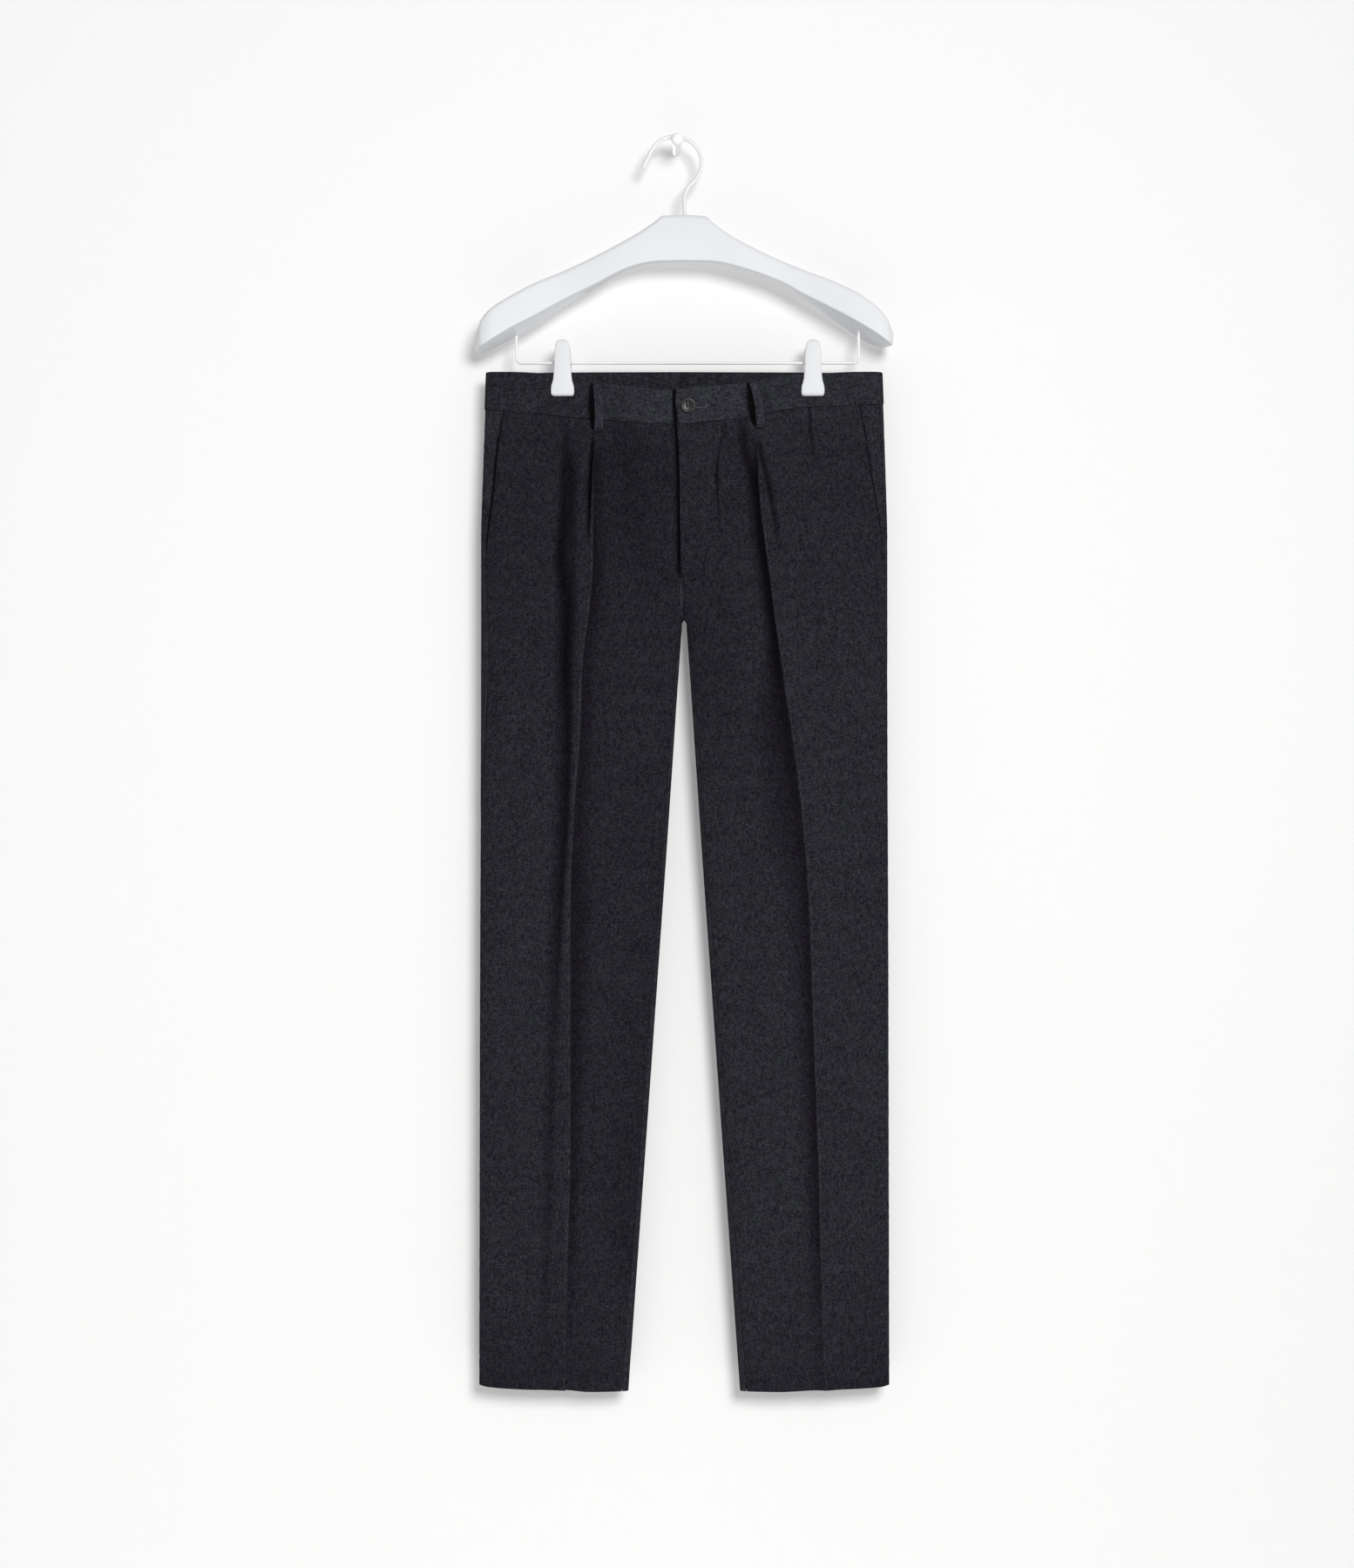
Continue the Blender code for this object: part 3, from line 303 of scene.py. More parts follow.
FRONT_FOLDS = {
    1: (
        Fold("centre", "sharp", CREASE[1]),
        Fold("centre", "sharp", PLEAT[1]),
        fold_of("crease", "soft",  # valley at the foot of the crease
            (0.07, -0.004, 0.0, 0.004, 0.008), (0.11, -0.005, -0.002, 0.004, 0.009),
            (0.16, -0.006, -0.0035, 0.005, 0.01), (0.277, -0.008, -0.0035, 0.007, 0.012),
            (0.39, -0.011, -0.0035, 0.009, 0.016), (0.55, -0.008, -0.0022, 0.007, 0.012),
            (0.8, -0.006, -0.0012, 0.005, 0.009), (1.083, -0.006, 0.0, 0.005, 0.009)),
        fold_of("centre", "sharp",  # short line beside the crease
            (0.066, 0.0775, 0.0), (0.09, 0.0812, -0.0025), (0.123, 0.0882, -0.0025),
            (0.16, 0.0956, -0.0022), (0.192, 0.1005, 0.0), reach=(0.003, 0.003)),
        fold_of("centre", "soft",  # valley that runs into the crease's foot
            (0.044, 0.06, 0.0, 0.005, 0.005), (0.06, 0.0611, -0.0014, 0.005, 0.005),
            (0.086, 0.063, -0.0018, 0.006, 0.006), (0.109, 0.0695, -0.0016, 0.006, 0.006),
            (0.132, 0.076, -0.0008, 0.006, 0.006), (0.165, 0.081, 0.0, 0.006, 0.006)),
        fold_of("centre", "soft",
            (0.038, 0.1179, -0.001, 0.004, 0.004), (0.08, 0.1179, -0.001, 0.004, 0.004),
            (0.106, 0.1185, 0.0, 0.006, 0.006)),
        fold_of("centre", "sharp",  # fine line near the fly
            (0.058, 0.0425, 0.0), (0.067, 0.0416, -0.0018), (0.086, 0.0363, -0.0022),
            (0.111, 0.0342, -0.0022), (0.145, 0.0358, -0.0018), (0.185, 0.038, 0.0), reach=(0.003, 0.003)),
    ),
    -1: (
        Fold("centre", "sharp", CREASE[-1]),
        Fold("centre", "soft", PLEAT[-1]),
        fold_of("crease", "sharp",  # deep gap behind the crease's lip
            (0.062, 0.0006, 0.0), (0.085, 0.001, -0.006), (0.123, 0.0026, -0.009), (0.155, 0.0034, -0.006),
            (0.185, 0.004, 0.0), reach=(0.004, 0.002)),
        fold_of("crease", "soft",  # soft roll outside the crease
            (0.055, 0.013, 0.0, 0.011, 0.011), (0.085, 0.013, 0.003, 0.011, 0.011),
            (0.12, 0.014, 0.005, 0.012, 0.012), (0.18, 0.013, 0.0055, 0.012, 0.012),
            (0.25, 0.012, 0.005, 0.012, 0.012), (0.32, 0.01, 0.004, 0.012, 0.011),
            (0.4, 0.008, 0.003, 0.011, 0.009), (0.55, 0.005, 0.002, 0.01, 0.008),
            (0.75, 0.004, 0.001, 0.01, 0.008), (1.083, 0.004, 0.0, 0.01, 0.008)),
        fold_of("crease", "step",  # the cloth drops inside the crease, and rises again
            (0.08, 0.0, 0.0, 0.004, 0.018), (0.12, 0.0, -0.0025, 0.004, 0.022),
            (0.2, 0.0, -0.004, 0.004, 0.028), (0.35, 0.0, -0.005, 0.004, 0.032),
            (0.5, 0.0, -0.0048, 0.004, 0.03), (0.7, 0.0, -0.0042, 0.004, 0.026),
            (0.9, 0.0, -0.0034, 0.004, 0.024), (1.083, 0.0, -0.0022, 0.004, 0.022)),
        fold_of("centre", "soft",  # the cloth gives way beside the fly's edge
            (0.036, 0.011, -0.0022, 0.005, 0.006), (0.07, 0.0088, -0.003, 0.005, 0.006),
            (0.19, 0.0066, -0.0028, 0.004, 0.006), (0.216, 0.0058, 0.0, 0.004, 0.006)),
        fold_of("centre", "soft",  # shallow trough beside the fly
            (0.085, 0.04, 0.0), (0.13, 0.041, -0.0015), (0.19, 0.041, -0.0015), (0.235, 0.04, 0.0),
            reach=(0.02, 0.02)),
    ),
}
BESIDE_FLY = ((0.036, 0.0105), (0.062, 0.0087), (0.110, 0.0073), (0.213, 0.0058))
# Painted shade: darker bands along the folds, where shade falls; each height is the share of light taken out.
FRONT_SHADES = {
    1: (
        fold_of("crease", "step",
            (0.066, 0.0, 0.0, 0.004, 0.008), (0.09, 0.0, 0.58, 0.004, 0.01),
            (0.123, 0.0, 0.84, 0.004, 0.0175), (0.16, 0.0, 0.88, 0.004, 0.0185),
            (0.216, 0.0, 0.89, 0.004, 0.018), (0.272, 0.0, 0.9, 0.004, 0.017),
            (0.337, 0.0, 0.72, 0.004, 0.034), (0.402, 0.0, 0.63, 0.004, 0.05),
            (0.476, 0.0, 0.54, 0.004, 0.05), (0.569, 0.0, 0.48, 0.004, 0.037),
            (0.672, 0.0, 0.52, 0.004, 0.027), (0.811, 0.0, 0.55, 0.004, 0.021),
            (0.95, 0.0, 0.46, 0.004, 0.021), (1.05, 0.0, 0.16, 0.004, 0.018),
            (1.083, 0.0, 0.1, 0.004, 0.014)),
        fold_of("centre", "soft",
            (0.066, 0.0775, 0.0, 0.004, 0.003), (0.085, 0.08, 0.58, 0.006, 0.004),
            (0.123, 0.0885, 0.68, 0.007, 0.0045), (0.16, 0.0956, 0.6, 0.006, 0.004),
            (0.2, 0.101, 0.0, 0.004, 0.003)),
        fold_of("centre", "soft",
            (0.044, 0.059, 0.3, 0.005, 0.005), (0.06, 0.0611, 0.48, 0.008, 0.007),
            (0.086, 0.064, 0.64, 0.01, 0.009), (0.109, 0.0697, 0.55, 0.009, 0.008),
            (0.14, 0.0765, 0.0, 0.006, 0.006)),
        fold_of("centre", "soft",
            (0.058, 0.0425, 0.1, 0.002, 0.002), (0.067, 0.0416, 0.5, 0.0022, 0.0022),
            (0.086, 0.0363, 0.62, 0.0025, 0.0025), (0.111, 0.0342, 0.62, 0.0025, 0.0025),
            (0.145, 0.0358, 0.48, 0.0022, 0.0022), (0.19, 0.038, 0.0, 0.002, 0.002)),
        fold_of("centre", "soft",
            (0.036, 0.1337, 0.55, 0.003, 0.003), (0.064, 0.1346, 0.55, 0.003, 0.003),
            (0.11, 0.1405, 0.0, 0.006, 0.006)),
    ),
    -1: (
        fold_of("crease", "step",
            (0.07, 0.0, 0.0, 0.004, 0.01), (0.095, 0.0, 0.48, 0.004, 0.016),
            (0.141, 0.0, 0.54, 0.004, 0.015), (0.197, 0.0, 0.56, 0.004, 0.016),
            (0.253, 0.0, 0.62, 0.004, 0.017), (0.309, 0.0, 0.5, 0.004, 0.018),
            (0.383, 0.0, 0.54, 0.004, 0.018), (0.476, 0.0, 0.52, 0.004, 0.021),
            (0.569, 0.0, 0.55, 0.004, 0.027), (0.672, 0.0, 0.56, 0.004, 0.021),
            (0.811, 0.0, 0.57, 0.004, 0.016), (0.95, 0.0, 0.43, 0.004, 0.012),
            (1.083, 0.0, 0.0, 0.004, 0.01)),
        fold_of("centre", "soft",
            (0.05, 0.1275, 0.2, 0.006, 0.007), (0.072, 0.1272, 0.3, 0.006, 0.01),
            (0.104, 0.1268, 0.62, 0.01, 0.02), (0.141, 0.1278, 0.7, 0.008, 0.018),
            (0.197, 0.132, 0.8, 0.008, 0.015), (0.253, 0.1254, 0.74, 0.014, 0.017),
            (0.309, 0.127, 0.76, 0.014, 0.017), (0.383, 0.1234, 0.66, 0.02, 0.009),
            (0.476, 0.1258, 0.62, 0.02, 0.008), (0.569, 0.1325, 0.58, 0.017, 0.008),
            (0.672, 0.1383, 0.38, 0.013, 0.007), (0.811, 0.1428, 0.38, 0.01, 0.007),
            (0.95, 0.1475, 0.22, 0.01, 0.008), (1.083, 0.15, 0.05, 0.01, 0.008)),
        fold_of("crease", "soft",
            (0.062, 0.0006, 0.0, 0.003, 0.002), (0.08, 0.0012, 0.8, 0.004, 0.003),
            (0.123, 0.0026, 0.88, 0.005, 0.004), (0.155, 0.0034, 0.8, 0.004, 0.003),
            (0.185, 0.004, 0.0, 0.003, 0.002)),
        fold_of("centre", "soft",
            (0.05, 0.062, 0.12, 0.03, 0.03), (0.09, 0.062, 0.26, 0.022, 0.03),
            (0.141, 0.058, 0.22, 0.022, 0.036), (0.2, 0.05, 0.12, 0.022, 0.03),
            (0.27, 0.04, 0.0, 0.022, 0.03)),
        fold_of("centre", "soft", *((drop, out, 0.96, 0.0036, 0.0054) for drop, out in BESIDE_FLY),
                (0.222, 0.0056, 0.0, 0.003, 0.003)),
    ),
}
LEG_SHADE = {          # painted shade: the cloth's tone kept outside the crease, inside it, and along the inseam
    1: table(
        "drop outer inner inseam",
        (0.04, 0.92, 0.8, 0.84), (0.1, 0.82, 0.76, 0.82), (0.22, 0.84, 0.78, 0.73), (0.34, 0.92, 0.86, 0.75),
        (0.5, 0.9, 0.92, 0.88), (0.9, 0.88, 0.92, 0.92), (1.0, 0.82, 0.86, 0.86), (1.083, 0.66, 0.72, 0.72)),
    -1: table(
        "drop outer inner inseam",
        (0.04, 0.8, 0.82, 0.86), (0.1, 0.74, 0.66, 0.65), (0.25, 0.76, 0.72, 0.71), (0.38, 0.84, 0.76, 0.74),
        (0.6, 0.89, 0.76, 0.72), (0.75, 0.87, 0.76, 0.68), (0.9, 0.86, 0.76, 0.6), (1.0, 0.8, 0.72, 0.7),
        (1.083, 0.64, 0.66, 0.74)),
}
BACK_CREASE = table(
    FOLD_COLUMNS,
    (0.1, 0.108, 0.0, 0.02, 0.02), (0.2, 0.11, 0.003, 0.022, 0.018), (0.4, 0.118, 0.0048, 0.024, 0.018),
    (0.7, 0.13, 0.0045, 0.024, 0.018), (1.083, 0.14, 0.003, 0.02, 0.018))
BACK_FOLD = Fold("centre", "sharp", BACK_CREASE)
# Painted shade inside the back crease: each height is the share of light taken out.
BACK_SHADE = table(
    FOLD_COLUMNS,
    (0.15, 0.109, 0.0, 0.004, 0.02), (0.3, 0.114, 0.3, 0.004, 0.024), (0.7, 0.13, 0.32, 0.004, 0.022),
    (1.083, 0.14, 0.15, 0.004, 0.018))
# The front belt loops: side, where the top and the foot are, and the width.
Loop = namedtuple("Loop", "name side face top_out top_drop foot_out foot_drop width")
FRONT_LOOPS = (
    Loop("loop_front_left", 1, 1, 0.0722, 0.0100, 0.0812, 0.0605, 0.0098),
    Loop("loop_front_right", -1, 1, 0.0922, 0.0110, 0.0906, 0.0640, 0.0098),
)


def fold_height(fold, crease, out, drop):
    """A fold's height at a place, for the crease that it may be measured from."""
    origin = read(crease, "out", drop) if fold.measured_from == "crease" else 0.0
    off = out - (read(fold.rows, "out", drop) + origin)
    across = np.abs(off) / np.where(off > 0.0, read(fold.rows, "outer", drop), read(fold.rows, "inner", drop))
    if fold.line == "sharp":
        shape = np.maximum(1.0 - across, 0.0) ** 1.6
    elif fold.line == "step":
        shape = np.where(off < 0.0, ramp(-off, 0.0, 0.0014) * np.maximum(1.0 - across ** 2, 0.0) ** 1.5, 0.0)
    else:
        shape = np.maximum(1.0 - across ** 2, 0.0) ** 2
    return read(fold.rows, "height", drop) * shape


def after_painted_shade(folds, crease, out, drop):
    """The share of the cloth's tone left after the shade painted along its folds."""
    share = np.ones_like(drop)
    for fold in folds:
        share = share * (1.0 - fold_height(fold, crease, out, drop))
    return share


def outer_edge(drop):
    return read(OUTLINE, "out", drop)


def inner_edge(drop):
    """Distance out to the inner edge of a leg, or to the centre seam above the crotch."""
    along = (drop - CROTCH_DROP) / (HEM_DROP - CROTCH_DROP)
    return np.where(drop < CROTCH_DROP, SEAM_GAP / 8, 0.0026 + 0.058 * along)


def waist_depth(out, drop, side, face):
    """Half thickness of the waist: flat in the clips, bowed between them, turned at the sides."""
    own, other = CLIP_OUT[side], CLIP_OUT[-side]
    start, end = -(other - CLIP_FLAT), own - CLIP_FLAT
    between_clips = np.sin(math.pi * np.clip((out - start) / (end - start), 0.0, 1.0)) ** 1.5
    bulge = np.where(face > 0, WAIST_BOW[1], WAIST_BOW[-1]) * between_clips
    beyond = np.clip((out - own - CLIP_FLAT) / (WAIST_HALF - own - CLIP_FLAT), 0.0, 1.0)
    bulge += SIDE_BOW * np.sin(math.pi * 0.8 * beyond) ** 1.5
    to_edge = np.clip((outer_edge(drop) - out) / EDGE_TURN, 0.0, 1.0)
    return (BAND_HALF + bulge) * np.sqrt(1.0 - (1.0 - to_edge) ** 2)


def leg_depth(out, drop, face):
    """Half thickness of a leg: a full lens, which above the crotch widens into one with the other leg's."""
    wide, narrow = outer_edge(drop), inner_edge(drop)
    narrow = np.where(drop < CROTCH_DROP, np.maximum(narrow - 2.0 * (CROTCH_DROP - drop), -wide), narrow)
    across = np.clip(np.abs((2.0 * out - wide - narrow) / (wide - narrow)), 0.0, 1.0)
    fullness = np.where(face > 0, read(FULLNESS, "front", drop), read(FULLNESS, "back", drop))
    return fullness * (1.0 - across ** 2) ** 0.4


WAVES = (        # soft unevenness of worn linen: waves a metre across and down, height, start
    (62.0, 9.0, 0.00022, 0.4),
    (-38.0, 47.0, 0.00020, 2.1),
    (91.0, -21.0, 0.00014, 4.4),
    (24.0, 88.0, 0.00012, 1.3),
    (-140.0, 33.0, 0.00009, 5.2),
    (57.0, 171.0, 0.00007, 3.6),
)


def unevenness(out, drop, side, face):
    total = 0.0
    for across, down, height, start in WAVES:
        total = total + height * np.sin(across * out + down * drop + start + 1.7 * side + 0.9 * face)
    return total * ramp(drop, 0.02, 0.12)


def depth(out, drop, side, face):
    leg = leg_depth(np.abs(out), drop, face)
    front = sum(fold_height(fold, CREASE[side], out, drop) for fold in FRONT_FOLDS[side])
    leg = leg + np.where(face > 0, front, fold_height(BACK_FOLD, BACK_CREASE, out, drop))
    relaxed = ramp(drop, 0.028, 0.110)
    waist = waist_depth(out, drop, side, face)
    return waist * (1.0 - relaxed) + leg * relaxed + unevenness(out, drop, side, face)


def turn(out, drop, face=1):
    """The angle round a leg at a place: 0 at its outer edge, pi at its inner edge, negative behind."""
    wide, narrow = outer_edge(drop), inner_edge(drop)
    past = math.pi + (narrow - out) / LAP
    across = np.clip((2.0 * out - wide - narrow) / (wide - narrow), -1.0, 1.0)
    return face * np.where(out < narrow, past, np.arccos(across))


def out_at(angle, drop):
    wide, narrow = outer_edge(drop), inner_edge(drop)
    past = (np.abs(angle) > math.pi) & (drop < CROTCH_DROP)
    return np.where(past, narrow - (np.abs(angle) - math.pi) * LAP,
                    (wide + narrow) / 2 + (wide - narrow) / 2 * np.cos(angle))


def form_point(angle, drop, side):
    out = out_at(angle, drop)
    past = (np.abs(angle) > math.pi) & (drop < CROTCH_DROP)
    face = np.where(past, np.sign(angle), np.where(np.sin(angle) >= 0.0, 1.0, -1.0))
    away = depth(out, drop, side, face) + SEAM_GAP / 2
    return np.stack((side * out, -face * away, WAIST_TOP - drop), axis=-1)


INSEAM_EASE = 0.0007                  # how much wider each leg is made along its inseam


def cloth_point(angle, drop, side, lift):
    """Points of the hung cloth, moved out from the middle of its wall by lift."""
    around = form_point(angle + 0.01, drop, side) - form_point(angle - 0.01, drop, side)
    down = form_point(angle, drop + 0.002, side) - form_point(angle, drop - 0.002, side)
    outward = side * np.cross(around, down)
    outward /= np.linalg.norm(outward, axis=-1, keepdims=True)
    places = form_point(angle, drop, side) + outward * np.asarray(lift)[..., None] + HANGING_PLACE
    by_inner = 1.0 - ramp(out_at(angle, drop) - inner_edge(drop), 0.0, 0.050)
    places[..., 0] -= side * INSEAM_EASE * by_inner * ramp(drop, CROTCH_DROP, 0.55)
    return places


def band_edge(column, x, face):
    return np.where(face > 0, read(FRONT_BAND, column, x), read(BACK_BAND, column, x))


def panel_drop(row, out, side, face):
    """The drop of a row of cloth: the first follows the waist seam and the last the hem's line."""
    seam = band_edge("seam", side * out, face) + SEAM_GAP - WAIST_ROW
    hem = read(HEM, "drop", out) - HEM_DROP
    return row + seam * (1.0 - ramp(row, WAIST_ROW, 0.158)) + hem * ramp(row, 0.88, HEM_DROP)


def side_seam(drop, side):
    return turn(outer_edge(drop) - read(SIDE_WRAP[side], "inset", drop), drop)


def inseam(drop):
    sewn = inner_edge(drop) + read(INSEAM_WRAP, "inset", drop)
    return np.where(drop <= CROTCH_DROP, math.pi, turn(sewn, drop))


def half_gap(angle, drop):
    """Half the gap at a seam, as an angle; none where the seam runs along an edge."""
    on_edge = np.abs(np.sin(angle)) < 0.03
    gap = SEAM_GAP / (outer_edge(drop) - inner_edge(drop))
    return np.where(on_edge, 0.0, gap / np.where(on_edge, 1.0, np.sin(angle)))


def spaced(steps, first, last):
    """Shares from 0 to 1 in steps that are finer at the start and the end, by first and last."""
    middle = (np.arange(steps) + 0.5) / steps
    sizes = np.interp(middle, (0.0, 0.45, 0.60, 1.0), (first, 1.0, 1.0, last))
    return np.concatenate(([0.0], np.cumsum(sizes))) / sizes.sum()


def panel_rows(count, first):
    return WAIST_ROW + (HEM_DROP - WAIST_ROW) * spaced(count, first, 1.0)


def columns_between(*stretches):
    """Columns of angles through stretches of (start, end, shares), each row's angles in one line."""
    lines = [start[:, None] + (end - start)[:, None] * shares[None, :] for start, end, shares in stretches]
    return np.concatenate([lines[0]] + [line[:, 1:] for line in lines[1:]], axis=1)


def along_rows(places):
    """Distance along each row from its first column."""
    steps = np.linalg.norm(np.diff(places, axis=1), axis=-1)
    return np.concatenate((np.zeros((len(places), 1)), np.cumsum(steps, axis=1)), axis=1)


VECTOR, COLOUR, FLOAT = "NodeSocketVector", "NodeSocketColor", "NodeSocketFloat"


def new_group(name, inputs, outputs):
    """A group's node tree with these sockets, what it is given, and where its results go."""
    group = bpy.data.node_groups.new(name, "ShaderNodeTree")
    for in_out, sockets in (("INPUT", inputs), ("OUTPUT", outputs)):
        for label, kind in sockets.items():
            group.interface.new_socket(name=label, in_out=in_out, socket_type=kind)
    return group, group.nodes.new("NodeGroupInput").outputs, group.nodes.new("NodeGroupOutput").inputs


def linen_weave():
    """Colour and height of washed linen: fine threads over and under, slubs along both, and slow mottling."""
    group, given, results = new_group(
        "linen_weave",
        {"Cloth": VECTOR, "Ground": COLOUR, "Fleck": COLOUR, "Yarn": FLOAT, "Slubs": FLOAT, "Mottle": FLOAT},
        {"Colour": COLOUR, "Height": FLOAT})

    def maths(operation, *sources):
        return put(group, "ShaderNodeMath", sources, operation=operation)

    def slow_noise(across, down, detail=1.0):
        place = put(group, "ShaderNodeCombineXYZ", (across, down, 0.0))
        return put(group, "ShaderNodeTexNoise", {"Vector": place, "Scale": 1.0, "Detail": detail},
                   noise_dimensions="2D")

    def threads(across, along, thread, length):
        """A tone that changes slowly along each thread and has nothing to do with the next one's."""
        which = maths("MULTIPLY", maths("FLOOR", maths("DIVIDE", across, thread)), 7.73)
        return slow_noise(which, maths("DIVIDE", along, length))

    separate = group.nodes.new("ShaderNodeSeparateXYZ")
    group.links.new(given["Cloth"], separate.inputs[0])
    u, v = separate.outputs[0], separate.outputs[1]
    across, down = maths("DIVIDE", u, given["Yarn"]), maths("DIVIDE", v, given["Yarn"])
    crown = maths("MULTIPLY", maths("SINE", maths("MULTIPLY", maths("FRACT", across), math.pi)),
                  maths("SINE", maths("MULTIPLY", maths("FRACT", down), math.pi)))
    weft = maths("SUBTRACT", threads(v, u, 0.00080, 0.0034), 0.5)
    warp = maths("SUBTRACT", threads(u, v, 0.00080, 0.0065), 0.5)
    weft_slub = put(group, "ShaderNodeMapRange", (threads(v, u, 0.0011, 0.0070), 0.56, 0.76, 0.0, 1.0))
    warp_slub = put(group, "ShaderNodeMapRange", (threads(u, v, 0.0010, 0.0110), 0.58, 0.78, 0.0, 1.0))
    nep = put(group, "ShaderNodeMapRange", (threads(v, u, 0.0010, 0.0030), 0.79, 0.84, 0.0, 3.0))
    slubs = maths("ADD", maths("ADD", weft_slub, nep), maths("MULTIPLY", warp_slub, 0.6))
    clouds = maths("SUBTRACT", slow_noise(maths("DIVIDE", u, 0.045), maths("DIVIDE", v, 0.014), 3.0), 0.5)
    share = maths("ADD", maths("MULTIPLY", weft, 3.3), maths("MULTIPLY", warp, 2.6))
    share = maths("ADD", share, maths("MULTIPLY", slubs, given["Slubs"]))
    share = maths("ADD", share, maths("MULTIPLY", clouds, given["Mottle"]))
    share = maths("MULTIPLY", maths("ADD", share, 0.80), maths("ADD", 0.80, maths("MULTIPLY", crown, 0.50)))
    share = put(group, "ShaderNodeMath", (maths("MULTIPLY", share, 0.25), 0.0), operation="MAXIMUM")
    colour = put(group, "ShaderNodeMix", {0: share, 6: given["Ground"], 7: given["Fleck"]}, output=2,
                 data_type="RGBA", clamp_factor=True)
    cast = slow_noise(maths("DIVIDE", u, 0.017), maths("DIVIDE", v, 0.012), 2.0)
    cast = put(group, "ShaderNodeMapRange", (cast, 0.38, 0.62, 0.0, 1.0))
    cast = put(group, "ShaderNodeMix",
               {0: cast, 6: (1.035, 0.975, 1.045, 1.0), 7: (0.955, 1.028, 0.985, 1.0)},
               output=2, data_type="RGBA")
    colour = put(group, "ShaderNodeVectorMath", (colour, cast), operation="MULTIPLY")
    height = maths("ADD", crown, maths("MULTIPLY", slubs, 0.8))
    group.links.new(colour, results["Colour"])
    group.links.new(height, results["Height"])
    return group


LINEN_WEAVE = linen_weave()
LINEN_GROUND = (0.0060, 0.0053, 0.0084, 1.0)
LINEN_FLECK = (0.050, 0.053, 0.0605, 1.0)
YARN = 0.00062
UV_STEP = 0.731                       # how far along the weave each next piece starts


def linen(name, ground=LINEN_GROUND, fleck=LINEN_FLECK):
    """A linen finish, scaled by the painted shade and highlight in the cloth's tone attribute, and a little
    more purple where that painted shade is deep.
    """
    made, tree, shader = new_material(name)
    cloth = put(tree, "ShaderNodeUVMap", uv_map="cloth")
    weave = tree.nodes.new("ShaderNodeGroup")
    weave.node_tree = LINEN_WEAVE
    set_inputs(weave, {"Ground": ground, "Fleck": fleck, "Yarn": YARN, "Slubs": 0.60, "Mottle": 0.6})
    tree.links.new(cloth, weave.inputs["Cloth"])
    # Painted shade and highlight: the tone attribute scales the colour and tints the shaded places purple.
    tone = put(tree, "ShaderNodeAttribute", output="Fac", attribute_name="tone")
    tint = put(tree, "ShaderNodeMix", {0: tone, 6: (1.06, 0.86, 1.10, 1.0), 7: (1.0, 1.0, 1.0, 1.0)}, output=2,
              data_type="RGBA", clamp_factor=True)
    shade_tinted = put(tree, "ShaderNodeVectorMath", (weave.outputs["Colour"], tint), operation="MULTIPLY")
    colour = put(tree, "ShaderNodeVectorMath", {0: shade_tinted, "Scale": tone}, operation="SCALE")
    tree.links.new(colour, shader.inputs["Base Color"])
    bump = put(tree, "ShaderNodeBump",
               {"Strength": 0.5, "Distance": 0.00010, "Height": weave.outputs["Height"]})
    tree.links.new(bump, shader.inputs["Normal"])
    set_inputs(shader, {"Roughness": 0.86, "Specular IOR Level": 0.05, "Sheen Weight": 0.006,
                        "Sheen Roughness": 0.5})
    return made


def read_all(items, what, width=1, kind=float):
    """One property of all items, as an array with a row for each."""
    values = np.empty(len(items) * width, dtype=kind)
    items.foreach_get(what, values)
    return values.reshape(-1, width) if width > 1 else values


def apply_modifier(piece, kind, **settings):
    """Gives the active piece a modifier with these settings, and applies it."""
    modifier = piece.modifiers.new(kind, kind)
    for key, value in settings.items():
        setattr(modifier, key, value)
    bpy.ops.object.modifier_apply(modifier=modifier.name)


